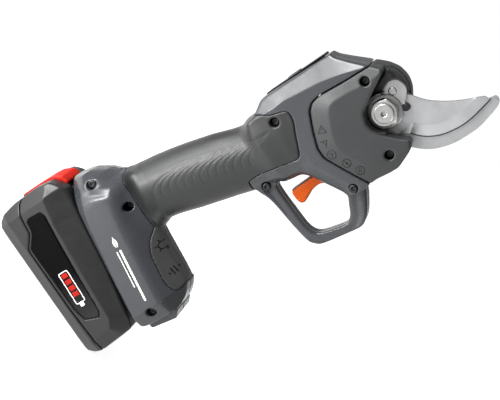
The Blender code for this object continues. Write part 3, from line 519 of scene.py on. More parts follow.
def studio():
    world = bpy.data.worlds.new("studio")
    bpy.context.scene.world = world
    world.use_nodes = True
    shade = world.node_tree.nodes["Background"]
    shade.inputs["Color"].default_value = (1.0, 1.0, 1.0, 1.0)
    shade.inputs["Strength"].default_value = WORLD_LIGHT
    bpy.ops.mesh.primitive_plane_add(size=FLOOR_SIZE, location=(0, 0, -FLOOR_DROP))
    floor = bpy.context.object
    floor.name = "floor"
    shader = Shader("floor_paper", 0.9, specular=0.1)
    tone = shader.range(shader.noise(2.0), 0.0, 1.0)
    shader.paint("Base Color", shader.mix(tone, linear((250, 250, 250)), linear((254, 254, 254))))
    shader.main.inputs["Emission Color"].default_value = (1.0, 1.0, 1.0, 1.0)
    shader.main.inputs["Emission Strength"].default_value = FLOOR_GLOW
    floor.data.materials.append(shader.material)
    for row in LAMPS:
        lamp(*row)
    bpy.context.scene.view_settings.view_transform = "Standard"


# ---------------------------------------------------------------- body shells

HANDLE_RINGS = (
    # back (x, z), front (x, z), half width, squareness
    ((-40.0, 72.0), (6.0, 70.0), 22.0, 2.3),
    ((-38.5, 87.0), (7.2, 85.0), 20.5, 2.3),
    ((-37.4, 95.5), (7.8, 93.5), 19.6, 2.3),
    ((-36.4, 103.1), (7.5, 100.0), 18.8, 2.2),
    ((-32.1, 126.8), (13.5, 121.5), 18.5, 2.2),
    ((-25.2, 153.6), (20.5, 148.0), 18.5, 2.2),
    ((-18.3, 174.9), (26.0, 168.0), 18.5, 2.3),
    ((-17.2, 186.0), (28.4, 181.0), 19.0, 2.6),
    ((-14.0, 200.0), (30.0, 196.0), 17.0, 2.8),
)
HEAD_BACK = (
    (-17.3, 184.0), (-18.4, 190.0), (-25.5, 200.0), (-26.4, 205.0), (-25.9, 257.2), (-21.3, 259.5),
    (-15.0, 265.4), (-7.3, 273.3), (2.9, 283.3),
)
NUT_RECESS = ((14.0, 264.9), (19.5, 255.9), (27.3, 253.0), (32.8, 254.1), (39.0, 258.0), (47.2, 266.1))
NOSE = ((9.2, 287.2), (15.0, 288.6), (20.3, 288.6), (26.1, 286.8), (36.0, 280.5), (45.0, 274.0))
HEAD_FRONT = (
    (50.8, 270.9), (53.1, 271.3), (56.3, 269.0), (58.4, 266.1), (63.4, 254.1), (63.2, 247.2), (62.0, 237.3),
    (62.8, 226.0), (62.5, 213.5), (57.3, 211.5), (44.0, 203.5), (37.9, 200.0), (31.7, 195.7), (30.1, 193.3),
    (28.2, 182.0),
)
BLADE_OPENING = (
    (4.0, 300.0), (70.0, 300.0), (70.0, 256.5), (61.0, 252.0), (50.0, 244.0), (30.0, 240.0), (6.0, 262.0),
)
SEAM = (
    (-4.0, 276.6), (-4.9, 255.1), (-6.4, 236.6), (-5.1, 230.0), (-1.2, 225.6), (11.0, 220.0), (23.1, 215.7),
    (30.6, 215.8), (45.1, 223.1), (61.0, 231.3),
)
COVER_REGION = SEAM + ((80.0, 241.0), (80.0, 310.0), (-4.0, 310.0))
PLATEAU = (
    (4.4, 290.0), (3.8, 262.3), (2.3, 252.8), (2.2, 240.7), (5.9, 236.5), (17.0, 231.3), (24.9, 228.4),
    (31.2, 228.1), (40.5, 232.4), (49.5, 237.6), (53.5, 248.6), (57.1, 261.5), (57.6, 290.0),
)
CREASE = (
    (-17.5, 186.0), (-16.9, 196.9), (-16.3, 211.5), (-14.0, 226.5), (-12.4, 241.7), (-10.5, 249.4),
    (-8.6, 257.1), (-6.0, 265.8), (-2.4, 276.0), (8.0, 292.0), (-80.0, 292.0), (-80.0, 186.0),
)
GUARD = (
    (48.0, 222.0), (62.8, 227.0), (80.2, 215.9), (85.0, 208.8), (84.0, 199.2), (80.6, 179.2), (78.8, 175.2),
    (74.6, 171.2), (68.3, 169.5), (57.9, 168.0), (34.8, 165.7), (25.7, 161.6), (12.0, 158.0), (12.0, 178.5),
    (27.3, 177.0), (29.7, 173.9), (61.5, 175.0), (67.4, 176.1), (71.5, 178.5), (73.9, 182.9), (77.6, 198.5),
    (76.7, 202.5), (73.7, 205.8), (67.2, 209.0), (61.5, 212.1), (48.0, 207.5),
)
GUARD_OPENING = (
    (27.3, 177.0), (29.7, 173.9), (61.5, 175.0), (67.4, 176.1), (71.5, 178.5), (73.9, 182.9), (77.6, 198.5),
    (76.7, 202.5), (73.7, 205.8), (61.5, 212.1), (57.3, 211.5), (44.0, 203.5), (37.9, 200.0), (31.7, 195.7),
    (29.0, 190.0),
)
GRIP_REGION = (
    (-80.0, 93.5), (-39.8, 92.9), (-37.2, 90.4), (-28.5, 89.9), (-20.6, 90.0), (-7.1, 88.6), (4.9, 88.2),
    (8.5, 89.6), (9.4, 92.8), (16.0, 100.0), (60.0, 100.0), (60.0, 156.0), (16.0, 160.0), (15.3, 168.6),
    (17.0, 180.0), (19.2, 191.0), (21.2, 199.6), (20.2, 202.4), (16.6, 204.5), (7.0, 208.6), (-1.0, 212.6),
    (-7.5, 213.8), (-10.5, 211.7), (-12.6, 204.9), (-14.1, 200.1), (-18.1, 195.3), (-20.0, 190.0),
    (-80.0, 190.0),
)
HOUSING_SCREWS = (
    # x, z, half width there
    (-43.4, 71.5, 27.0), (-16.5, 84.0, 20.0), (52.5, 56.5, 30.0),
    (-8.1, 201.4, 17.5), (25.8, 169.0, 8.5), (58.6, 220.5, 18.6),
)
COVER_SCREWS = ((2.7, 268.3), (52.6, 254.3))
COVER_SCREW_DEPTH = 16.0
HOLE_RADIUS = 3.3
HOLE_SINK = (2.5, 2.5, 2.5, 2.5, 0.0, 0.0, 0.0, 0.0)
PAD = (
    (9.5, 92.5), (4.8, 88.8), (11.5, 81.8), (20.0, 77.8), (43.0, 74.4), (50.5, 76.5), (51.0, 81.0),
    (47.0, 88.0),
)
GRIP_DEPTH = 1.6
SEAM_GAP = 0.35
GUARD_HALF = 8.0
GAP = 0.3


def ring_table():
    """Each ring value along the handle, smoothed between the rings."""
    rows = []
    for back, front, half_width, squareness in HANDLE_RINGS:
        back, front = np.array(back), np.array(front)
        span = front - back
        middle = (front + back) / 2
        turn = math.atan2(span[1], span[0])
        rows.append((middle[0], middle[1], turn, np.hypot(*span) / 2, half_width, squareness))
    rows = np.array(rows)
    fine = np.linspace(0.0, len(rows) - 1.0, 40 * (len(rows) - 1) + 1)
    low = np.clip(fine.astype(int), 0, len(rows) - 2)
    share = (fine - low)[:, None]
    before, after = rows[np.maximum(low - 1, 0)], rows[np.minimum(low + 2, len(rows) - 1)]
    start, end = rows[low], rows[low + 1]
    out_slope, in_slope = (end - before) / 2, (after - start) / 2
    curve = start * (1 + 2 * share) * (1 - share) ** 2 + out_slope * share * (1 - share) ** 2
    curve += end * share ** 2 * (3 - 2 * share) - in_slope * share ** 2 * (1 - share)
    return rows, fine, curve


def handle(grid):
    """The handle as rounded sections, one above the other."""
    rows, fine, curve = ring_table()
    x, z = grid.x[:, 0, :] + 0 * grid.z[0], grid.z[0] + 0 * grid.x[:, 0, :]
    heights = [(z - row[1]) * math.cos(row[2]) - (x - row[0]) * math.sin(row[2]) for row in rows]
    level = np.where(heights[0] < 0, 0.0, len(rows) - 1.0)
    for i, (low, high) in enumerate(zip(heights, heights[1:])):
        level = np.where((low >= 0) & (high < 0), i + low / np.maximum(low - high, 1e-6), level)
    values = [np.interp(level, fine, curve[:, n])[:, None, :].astype(np.float32) for n in range(6)]
    middle_x, middle_z, turn, half_length, half_width, power = values
    along = np.abs((grid.x - middle_x) * np.cos(turn) + (grid.z - middle_z) * np.sin(turn)) / half_length
    across = np.abs(grid.y) / half_width
    size = (along ** power + across ** power + 1e-9) ** (1 / power)
    slopes = np.gradient(size, grid.step)
    steep = np.sqrt(sum(slope * slope for slope in slopes))
    field = (size - 1.0) / np.maximum(steep, 0.012)
    field = common(field, -heights[0][:, None, :], 1.5)
    return common(field, heights[-1][:, None, :], 6.0)


FOOT = (
    (-53.0, 57.6), (-30.0, 53.6), (57.0, 41.5), (59.6, 45.0), (60.4, 51.0), (61.4, 66.0), (61.6, 71.0),
    (57.4, 78.0), (50.0, 84.0), (38.0, 85.6), (20.0, 86.6), (10.0, 88.0), (0.0, 89.5), (-30.0, 91.0),
    (-35.5, 90.0), (-39.3, 87.6), (-45.8, 82.4), (-52.2, 72.8), (-55.2, 61.0),
)
RIDGE_X = (-56.0, -55.2, -52.1, -45.7, -39.2, -32.0, -20.0, 0.0)
RIDGE_Z = (59.0, 61.0, 72.8, 82.4, 88.5, 100.0, 116.0, 140.0)
RIDGE_ROUND = 8.6
LUG = ((59.0, 45.5), (63.4, 46.0), (66.8, 64.8), (62.0, 69.3))
FOOT_CREASE = (
    (-80.0, 89.0), (-50.0, 87.5), (-44.5, 85.7), (-37.5, 83.2), (-26.8, 80.5), (-8.2, 75.8), (33.3, 70.1),
    (54.5, 67.4), (90.0, 64.0), (90.0, 150.0), (-80.0, 150.0),
)
FOOT_LOW = (
    (-80.0, 76.0), (-51.5, 67.4), (-39.1, 61.9), (-19.4, 56.2), (4.6, 51.9), (28.1, 47.9), (48.1, 44.8),
    (90.0, 38.0), (90.0, 0.0), (-80.0, 0.0),
)
FOOT_HALF, FOOT_LEAST = 36.8, 12.0
ABOVE_SLOPE, BELOW_SLOPE, FRONT_SLOPE = 1.5, 0.75, 0.9
FRONT_START, BACK_START, BACK_CURVE = 50.0, -29.0, 0.026
LUG_HALF = 22.0


def foot(grid):
    """The wide base of the handle: flat sides between an upper slope and a narrow lower one."""
    plan = distance(grid.x, grid.z, chaikin(FOOT, 1, 0.2))
    above = distance(grid.x, grid.z, FOOT_CREASE)
    above = (np.sqrt(above * above + 6.0) - above) / 2
    below = np.maximum(-distance(grid.x, grid.z, FOOT_LOW), 0.0)
    front = np.maximum(grid.x - FRONT_START, 0.0)
    back = np.maximum(BACK_START - grid.x, 0.0)
    height = FOOT_HALF - ABOVE_SLOPE * above - BELOW_SLOPE * below - FRONT_SLOPE * front
    height = np.maximum(height - BACK_CURVE * back * back, FOOT_LEAST)
    drop = np.maximum(np.interp(grid.x, RIDGE_X, RIDGE_Z) - grid.z, 0.0)
    height = union(height, RIDGE_ROUND * np.sqrt(drop), 12.0)
    base = slab(plan, (np.abs(grid.y) - height) * 0.7, 1.2)
    return union(base, slab(distance(grid.x, grid.z, LUG), np.abs(grid.y) - LUG_HALF, 0.4))


HEAD_HALF, HOUSING_LIMIT, COVER_TOP = 22.0, 21.2, 24.6
RIM_SLOPE, COVER_SLOPE, THROAT_SLOPE = 0.62, 0.34, 0.85


def head(grid, side):
    """The head behind the blades, with its sloped rims and the raised cover."""
    outline = HEAD_BACK + (NUT_RECESS if side < 0 else NOSE) + HEAD_FRONT
    plan = distance(grid.x, grid.z, chaikin(outline, 1, 0.12))
    height = HEAD_HALF - RIM_SLOPE * np.maximum(-distance(grid.x, grid.z, chaikin(CREASE, 3, 0.25)), 0.0)
    height = height - 0.10 * np.maximum(215.0 - grid.z, 0.0)
    opening = np.maximum(9.5 - distance(grid.x, grid.z, GUARD_OPENING), 0.0)
    height = height - THROAT_SLOPE * opening
    rise = COVER_TOP - COVER_SLOPE * np.maximum(distance(grid.x, grid.z, chaikin(PLATEAU, 2, 0.2)), 0.0)
    in_cover = distance(grid.x, grid.z, chaikin(COVER_REGION, 1, 0.1)) < 0
    height = np.where(in_cover, np.minimum(rise, height + 3.0), np.minimum(height, HOUSING_LIMIT))
    return plan, slab(plan, (np.abs(grid.y) - height) * 0.92, 1.6)


def outer_body(grid, side):
    plan, front = head(grid, side)
    guard_plan = distance(grid.x, grid.z, chaikin(GUARD, 2, 0.2))
    opening = np.maximum(9.0 - distance(grid.x, grid.z, GUARD_OPENING), 0.0)
    ridge = 0.45 * np.minimum(opening, 3.2)
    guard = slab(guard_plan, np.abs(grid.y) - GUARD_HALF - 1.2 + ridge, 1.6)
    body = union(union(handle(grid), front, 10.0), foot(grid), 9.0)
    return plan, union(body, guard, 2.5)


def nose_filler(grid, plan):
    """The far cover's rim behind the drive plate."""
    out = np.hypot(grid.x - 28.0, grid.z - 266.0)
    ring = common(plan + 1.0, 19.3 - out)
    ring = common(common(ring, grid.x - 47.0), 270.0 - grid.z)
    return common(ring, common(-1.8 - grid.y, grid.y - 9.0), 1.0)


def hollow_of(grid, side, plan, body):
    shelf = 9.2 if side < 0 else 7.1
    across = np.minimum(plan + WALL + 0.6, distance(grid.x, grid.z, BLADE_OPENING))
    middle = common(across, side * grid.y - shelf)
    return union(body + WALL + GRIP_DEPTH, middle)


TRIGGER_SLOT = ((20.0, -7.4, 177.5), (50.0, 7.4, 214.0))
PANEL_SLOT = ((-34.0, -12.5, 205.8), (-24.9, 12.5, 254.2))
CONTACT_SLOT = ((-7.0, -14.0, 30.0), (22.0, 14.0, 60.0))
DRILL_END = 60.0


def housings(side, name, step):
    low_y, high_y = (-40.0, 0.0) if side < 0 else (-2.0, 40.0)
    grid = Grid((-62.0, low_y, 36.0), (88.0, high_y, 291.0), step)
    plan, body = outer_body(grid, side)
    shell = without(body, hollow_of(grid, side, plan, body))
    shell = common(shell, GAP / 2 - side * grid.y)
    for low, high in (TRIGGER_SLOT, PANEL_SLOT, CONTACT_SLOT):
        shell = without(shell, brick(grid, low, high))
    spots = HOUSING_SCREWS + tuple(spot + (COVER_SCREW_DEPTH,) for spot in COVER_SCREWS)
    for (x, z, depth), sink in zip(spots, HOLE_SINK):
        shell = without(shell, peg(grid, (x, z), HOLE_RADIUS, side * (depth - sink), side * DRILL_END), 0.8)
    region = distance(grid.x, grid.z, chaikin(COVER_REGION, 1, 0.1))
    grip_region = distance(grid.x, grid.z, chaikin(GRIP_REGION, 1, 0.2))
    if side > 0:
        shell = union(shell, nose_filler(grid, plan), 0.4)
    cover = slab(shell, region + SEAM_GAP, 0.5)
    housing = slab(shell, SEAM_GAP - region, 0.5)
    bed = common(grip_region - 0.25, -body - GRIP_DEPTH - 0.2)
    housing = without(housing, bed, 0.3)
    pad_plan = distance(grid.x, grid.z, chaikin(PAD, 1, 0.15))
    housing = without(housing, common(pad_plan - 0.3, -body - 1.6), 0.3)
    piece("housing_" + name, housing, grid, HOUSING, "tool", ("housing_" + name,))
    piece("cover_" + name, cover, grid, COVER, "tool", ("gear_cover_" + name,))
    grip = common(common(body - 0.25 + grip_waves(grid), grip_region), -body - GRIP_DEPTH)
    grip = common(grip, GAP / 2 - side * grid.y)
    grip = without(grip, brick(grid, *TRIGGER_SLOT))
    for x, z, depth in HOUSING_SCREWS[3:5]:
        grip = without(grip, peg(grid, (x, z), HOLE_RADIUS, side * (depth - 3.0), side * DRILL_END), 0.8)
    piece("grip_" + name, grip, grid, GRIP, "tool", ("grip_" + name,))
    if side < 0:
        pad = slab(common(body - 0.1, -body - 1.4), pad_plan, 0.4)
        piece("front_pad", pad, grid, RUBBER, "tool", ("front_pad",))


WAVE = ((30.0, -12.0), (17.0, -10.0), (6.0, -6.5), (1.0, -2.5), (-0.5, 1.0), (0.0, 4.0))
WAVE_HEIGHTS = np.arange(172.0, 100.0, -5.8)
WAVE_DEPTH = 0.2
WAVE_WIDTH = 0.42


def grip_waves(grid):
    """Grooves that run down the handle and turn across it, as a depth at each (x, z)."""
    rows = ring_table()[0]
    deep = 0.0
    for rise in WAVE_HEIGHTS:
        line = []
        for along, across in WAVE:
            level = min(rise + along, 192.0)
            middle = np.interp(level, rows[:, 1], rows[:, 0])
            line.append((middle + across, level - 0.12 * across))
        away = distance(grid.x, grid.z, chaikin_open(line), closed=False)
        deep = np.maximum(deep, WAVE_DEPTH * np.exp(-(away / WAVE_WIDTH) ** 2))
    return deep


# ---------------------------------------------------------------- marks on the surfaces

def ring(u, v, radius, width=0.3):
    return np.abs(np.hypot(u, v) - radius) - width


def bar(u, v, start, end, width=0.3):
    return distance(u, v, (start, end), closed=False) - width


def warning_triangle(u, v):
    edge = np.abs(distance(u, v, ((-3.0, -2.2), (3.0, -2.2), (0.0, 3.0)))) - 0.3
    return union(edge, bar(u, v, (0.0, -0.7), (0.0, 0.9)))


def open_arrow(u, v):
    legs = [bar(u, v, (foot, -2.0), (0.0, 2.4)) for foot in (-2.6, 2.6)]
    return together(*legs, bar(u, v, (-1.2, -0.6), (1.2, -0.6)))


def ring_and_chevron(u, v):
    return together(ring(u, v, 3.0), *[bar(u, v, (foot, -0.8), (0.0, 1.0)) for foot in (-1.5, 1.5)])


def ring_and_dot(u, v):
    return together(ring(u, v, 3.0), np.hypot(u, v) - 0.9, bar(u, v, (-2.2, -2.2), (2.2, 2.2)))


def ring_and_bars(u, v):
    return together(ring(u, v, 3.0), *[bar(u, v, (-1.6, rise), (1.6, rise)) for rise in (0.7, -0.7)])


def gear_sign(u, v):
    spokes = []
    for t in np.radians((0.0, 60.0, 120.0)):
        x, z = 4.6 * math.cos(t), 4.6 * math.sin(t)
        spokes.append(bar(u, v, (-x, -z), (x, z), 0.45))
    return union(without(together(*spokes), np.hypot(u, v) - 2.4), ring(u, v, 2.6, 0.45))


def stack_sign(u, v):
    rises = (-3.0, -1.0, 1.0, 3.0)
    return together(*[bar(u, v, (-3.6 + abs(rise), rise), (3.6 - abs(rise), rise), 0.45) for rise in rises])


COVER_SIGNS = (
    ((13.6, 225.9), 65.0, warning_triangle), ((22.0, 222.6), 20.0, open_arrow),
    ((31.3, 221.9), 0.0, ring_and_chevron),
    ((41.6, 227.2), -28.0, ring_and_dot), ((50.6, 232.0), -28.0, ring_and_bars),
)
PAD_SIGNS = (((19.0, 86.0), 10.0, gear_sign), ((38.0, 82.6), 5.0, stack_sign))


def on_surface(name, sign, centre, turn, surface, size, depths, material, body, nodes, step=0.25,
               lift=0.0):
    """A flat sign laid 0.15 mm proud of a curved surface."""
    low = (centre[0] - size, depths[0], centre[1] - size)
    high = (centre[0] + size, depths[1], centre[1] + size)
    grid = Grid(low, high, step)
    x, z = grid.x - centre[0], grid.z - centre[1]
    turn = math.radians(turn)
    u, v = x * math.cos(turn) + z * math.sin(turn), z * math.cos(turn) - x * math.sin(turn)
    raised = np.abs(surface(grid) - lift) - 0.15
    piece(name, slab(sign(u, v), raised, 0.05), grid, material, body, nodes, whole=True)


def body_surface(grid):
    return outer_body(grid, NEAR)[1]


def signs():
    # Painted shade: the cover and pad signs are dark to stand for the shade in their engraving.
    for number, (centre, turn, sign) in enumerate(COVER_SIGNS, 1):
        on_surface("cover_sign_%d" % number, sign, centre, turn, body_surface, 4.2, (-26.0, -14.0), ENGRAVING_SHADE,
                   "tool", ("gear_cover_left",))
    for number, (centre, turn, sign) in enumerate(PAD_SIGNS, 1):
        on_surface("pad_sign_%d" % number, sign, centre, turn, body_surface, 6.0, (-36.0, -10.0), ENGRAVING_SHADE,
                   "tool", ("front_pad",), 0.3, 0.2)
    on_surface("foot_leaf", leaf, (-1.0, 64.6), -8.0, body_surface, 5.0, (-40.0, -32.0), WHITE,
               "tool", ("housing_left",))
    on_surface("foot_stripe", stripe, (24.0, 60.8), -8.5, body_surface, 21.0, (-40.0, -32.0), WHITE,
               "tool", ("housing_left",), 0.35)


def leaf(u, v):
    blade = np.hypot(u, v + 3.2) - 4.9
    blade = common(blade, np.hypot(u, v - 3.2) - 4.9)
    blade = without(blade, bar(u, v, (-2.4, 0.0), (4.0, 0.0), 0.22))
    return union(blade, bar(u, v, (-4.4, 0.0), (-3.0, 0.0), 0.3))


def stripe(u, v):
    return union(bar(u, v, (-19.0, 1.1), (19.0, 1.1), 0.9), bar(u, v, (-19.0, -1.6), (8.0, -1.6), 0.5))


# ---------------------------------------------------------------- battery

BATTERY_OUTLINE = (
    (-53.0, 0.0), (50.5, 0.0), (54.6, 4.6), (56.2, 11.5), (55.4, 26.0), (54.6, 37.0), (47.4, 40.2),
    (9.0, 47.3), (-21.5, 51.6), (-45.4, 55.0), (-51.8, 55.6), (-57.6, 51.8), (-61.5, 48.0), (-63.2, 38.0),
    (-62.8, 18.9), (-60.6, 8.0), (-57.4, 2.4),
)
PARTING = (
    (-70.0, 25.9), (-62.4, 25.9), (-59.6, 22.5), (-53.2, 19.5), (-46.9, 18.6), (-39.8, 17.8), (-35.4, 14.3),
    (-31.2, 10.6), (-28.2, 9.8), (19.4, 10.0), (50.2, 11.5), (70.0, 12.4),
)
LABEL = (
    (-48.6, 21.2), (-47.6, 35.0), (-22.5, 31.9), (5.3, 29.2), (36.3, 26.7), (30.8, 12.9), (-27.5, 11.7),
    (-30.6, 12.2), (-35.6, 16.6), (-39.6, 20.0),
)
RIDGE = (
    (-80.0, 47.0), (-58.3, 44.4), (-53.1, 39.6), (-47.4, 38.1), (-34.6, 35.7), (-0.3, 32.7), (40.1, 29.7),
    (46.0, 26.0), (48.0, 12.0), (50.0, -20.0), (90.0, -20.0), (90.0, 90.0), (-80.0, 90.0),
)
BATTERY_HALF = 38.1
RAIL_ROOM = ((-82.4, -19.7, 39.6), (-47.6, 19.7, 80.0))
CONTACT_ROOM = ((-5.4, -14.9, 35.2), (80.0, 14.9, 80.0))
CONTACT_CUT = ((-3.0, -12.5, 37.6), (80.0, 12.5, 80.0))
VENT_PITCH, VENT_ENDS, VENT_Z = 3.4, (48.0, 60.0), 18.0


def battery_body(grid):
    plan = distance(grid.x, grid.z, chaikin(BATTERY_OUTLINE, 1, 0.12))
    ridge = np.maximum(-distance(grid.x, grid.z, RIDGE), 0.0)
    height = BATTERY_HALF - 0.42 * ridge - 0.7 * np.maximum(9.0 - grid.z, 0.0)
    height = height - 0.5 * np.maximum(-54.0 - grid.x, 0.0)
    return slab(plan, (np.abs(grid.y) - height) * 0.9, 1.4)


def battery(step):
    grid = Grid((-64.0, -39.0, -0.5), (57.0, 39.0, 56.5), step)
    body = battery_body(grid)
    label_plan = distance(grid.x, grid.z, chaikin(LABEL, 1, 0.15))
    parting = distance(grid.x, grid.z, tuple(PARTING) + ((90.0, -20.0), (-90.0, -20.0)))
    hollow = body + WALL
    for low, high in (RAIL_ROOM, CONTACT_ROOM):
        hollow = without(hollow, brick(grid, low, high))
    shell = without(body, hollow)
    lower = slab(shell, parting + 0.22, 0.4)
    upper = slab(shell, 0.22 - parting, 0.4)
    pocket = slab(distance(grid.x, grid.z, BUTTON_POCKET), np.abs(grid.y) - 17.4, 0.5)
    upper = without(union(upper, common(body, common(pocket - WALL, grid.x + 50.0))), pocket, 0.3)
    upper = without(upper, brick(grid, *CONTACT_CUT))
    for number in range(3):
        line = [(x, VENT_Z + VENT_PITCH * number) for x in VENT_ENDS]
        line = distance(grid.x, grid.z, line, closed=False) - 0.7
        upper = without(upper, slab(line, np.abs(grid.y) - 24.0, 0.4), 0.3)
    upper = without(upper, common(label_plan, -body - 1.2))
    lower = without(lower, common(label_plan, -body - 1.2))
    piece("battery_upper", upper, grid, BATTERY, "battery", ("battery_upper_shell",))
    piece("battery_lower", lower, grid, BATTERY, "battery", ("battery_lower_shell",))
    panel = common(common(body + 0.15, -body - 1.1), label_plan + 0.35, 0.5)
    for side, name in ((NEAR, "left"), (AWAY, "right")):
        half = common(panel, 20.0 - side * grid.y)
        piece("battery_panel_" + name, half, grid, GLOSS, "battery", ("battery_label_" + name,))


BUTTON = (
    (-64.6, 21.9), (-63.0, 21.2), (-61.0, 40.8), (-56.6, 43.4), (-53.6, 46.0), (-53.4, 54.6), (-55.4, 55.2),
    (-60.0, 53.6), (-63.5, 47.0), (-64.4, 40.3),
)
BUTTON_POCKET = ((-80.0, 20.6), (-60.8, 20.2), (-58.6, 40.2), (-50.0, 42.0), (-50.0, 80.0), (-80.0, 80.0))
RIB_PITCH = 3.1


def release_button(step):
    grid = Grid((-65.5, -17.0, 20.5), (-53.0, 17.0, 58.0), step)
    plan = distance(grid.x, grid.z, chaikin(BUTTON, 1, 0.12))
    body = slab(plan, np.abs(grid.y) - 16.8, 1.0)
    ribs = 0.5 * np.cos(2 * math.pi * grid.y / RIB_PITCH).clip(0.0)
    ribs = ribs * (np.abs(grid.y) < 13.2) * (grid.z > 30.0)
    body = np.maximum(body, plan + ribs)
    piece("release_button", body, grid, RED, "release_button", ("release_button",))


def badge(u, v):
    """A plain battery sign: a rounded case with a terminal."""
    case = brick_plan(u, v, 12.6, 4.0, 1.4)
    return union(np.abs(case + 0.5) - 0.5, brick_plan(u - 13.9, v, 1.4, 1.7, 0.5))


def badge_fill(u, v):
    return together(*[brick_plan(u - place, v, 1.9, 2.4, 0.3) for place in (-9.2, -4.4, 0.4, 5.2)])


def brick_plan(u, v, half_u, half_v, rounding):
    a, b = np.abs(u) - half_u + rounding, np.abs(v) - half_v + rounding
    return np.hypot(np.maximum(a, 0), np.maximum(b, 0)) + np.minimum(np.maximum(a, b), 0.0) - rounding


def badges():
    def panel(grid):
        return battery_body(grid) + 0.15

    for name, sign, material in (("badge_case", badge, WHITE), ("badge_bars", badge_fill, RED)):
        on_surface(name, sign, (7.5, 20.6), -3.0, panel, 16.5, (-40.5, -34.0), material, "battery",
                   ("battery_label_left",), 0.35)


# ---------------------------------------------------------------- trigger and panel

TRIGGER = (
    (37.0, 214.5), (36.6, 206.0), (37.9, 199.0), (38.1, 182.6), (39.2, 179.9), (46.0, 180.3), (49.0, 181.7),
    (49.6, 184.5), (47.9, 187.6), (45.2, 193.4), (44.4, 200.0), (47.6, 206.0), (48.0, 212.0), (44.0, 216.5),
)
TRIGGER_PIVOT = (44.0, 211.6)
TRIGGER_RIM = ((38.6, 181.0), (38.4, 199.0), (37.4, 206.0))


def trigger(step):
    grid = Grid((36.0, -6.8, 179.0), (50.5, 6.8, 217.5), step)
    plan = distance(grid.x, grid.z, chaikin(TRIGGER, 2, 0.2))
    narrow = 6.6 - 0.5 * np.exp(-((grid.z - 197.0) / 5.0) ** 2)
    lever = slab(plan, np.abs(grid.y) - narrow, 1.5)
    lever = without(lever, peg(grid, TRIGGER_PIVOT, 1.8, -10.0, 10.0))
    rim = distance(grid.x, grid.z, TRIGGER_RIM, closed=False) - 0.35
    rim = slab(rim, 6.0 - np.abs(grid.y), 0.0)
    lever = without(lever, rim, 0.3)
    piece("trigger", lever, grid, ORANGE, "trigger", ("trigger",))


INSERT = (
    (37.6, 181.0), (38.9, 181.0), (38.6, 199.0), (37.6, 206.0), (37.4, 213.0), (35.6, 213.0), (36.0, 205.0),
    (37.0, 198.0),
)


def trigger_insert(step):
    """The dark strip along the trigger's back."""
    grid = Grid((34.5, -5.4, 180.0), (40.0, 5.4, 214.0), step)
    strip = slab(distance(grid.x, grid.z, INSERT), np.abs(grid.y) - 4.8, 0.4)
    piece("trigger_insert", strip, grid, BLACK, "trigger", ("trigger_insert",))


PANEL_X, PANEL_Z, BUTTON_Z = -26.3, 230.0, 228.0
LAMP_HEIGHTS = (238.5, 242.0, 245.5, 249.0)


def control_panel(step):
    grid = Grid((-28.5, -12.2, 206.0), (-24.8, 12.2, 254.0), step)
    across = np.maximum(np.abs(grid.y) - 11.9, np.abs(grid.z - PANEL_Z) - 23.6)
    panel = slab(across + 0.0 * grid.x, np.abs(grid.x - PANEL_X) - 0.9, 0.4)
    frame_line = np.abs(np.maximum(np.abs(grid.y) - 10.6, np.abs(grid.z - PANEL_Z) - 22.3)) - 0.25
    panel = without(panel, common(frame_line, grid.x + 26.85), 0.15)
    panel = without(panel, brick(grid, (-40.0, -5.3, 222.7), (-20.0, 5.3, 233.3), 1.0), 0.3)
    for rise in LAMP_HEIGHTS:
        dot = np.hypot(grid.y, grid.z - rise) - 1.0
        panel = without(panel, common(dot, grid.x + 26.8), 0.15)
    piece("control_panel", panel, grid, GLOSS, "tool", ("control_panel",))
    button = brick(grid, (-27.9, -5.0, 223.0), (-25.6, 5.0, 233.0), 0.7)
    circle = np.abs(np.hypot(grid.y, grid.z - BUTTON_Z) - 2.4) - 0.3
    button = without(button, common(circle, grid.x + 27.4), 0.15)
    piece("power_button", button, grid, BLACK, "power_button", ("power_button",))


# ---------------------------------------------------------------- blades and pivot

PIVOT = (28.0, 266.0)
BLADE_SPINE = (
    (26.1, 283.6), (28.2, 286.1), (33.5, 289.8), (38.6, 294.5), (45.3, 303.6), (51.6, 315.4), (55.7, 326.2),
    (57.6, 327.3), (60.5, 328.6),
)
BLADE_EDGE = (
    (61.5, 324.7), (62.9, 318.3), (64.3, 311.8), (65.1, 303.2), (64.0, 293.6), (62.3, 286.7), (58.3, 278.9),
    (53.8, 273.8), (50.0, 270.8),
)
COUNTER_OUTER = (
    (59.9, 330.9), (60.4, 332.7), (62.7, 333.3), (65.9, 332.0), (67.8, 327.6), (69.8, 320.8), (72.1, 312.1),
    (72.4, 303.9), (72.2, 293.6), (70.8, 286.5), (67.6, 277.3), (62.5, 270.2), (58.3, 265.8), (51.0, 260.5),
)
COUNTER_INNER = (
    (32.0, 283.8), (44.0, 277.6), (51.0, 278.4), (56.0, 283.5), (59.8, 290.0), (61.6, 296.0), (62.4, 303.2),
    (61.8, 310.6), (60.6, 318.0), (59.0, 325.0),
)
PEAR = (
    (12.4, 279.5), (13.4, 283.0), (15.8, 285.3), (19.6, 286.5), (23.2, 286.3), (26.6, 283.9), (31.2, 279.2),
    (36.1, 275.4), (39.2, 271.2), (40.2, 266.0), (39.2, 260.6),
)
RIVET = (19.2, 277.7)
DRIVE_PIN = (33.2, 279.2)
BLADE_HOLES = ((PIVOT, 6.8), (RIVET, 2.9), (DRIVE_PIN, 2.9))
COUNTER_HOLES = ((PIVOT, 5.3), ((41.2, 267.6), 2.3), ((18.6, 279.0), 2.3))
HEX_TURN = math.radians(20.0)
NUT_FLATS, SOCKET_FLATS = 17.5, 3.6


def arc(radius, start, end, count, centre=PIVOT):
    turns = np.radians(np.linspace(start, end, count))
    return [(centre[0] + radius * math.cos(t), centre[1] + radius * math.sin(t)) for t in turns]


def layer(node):
    low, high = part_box(node)
    return low[1] / MM, high[1] / MM


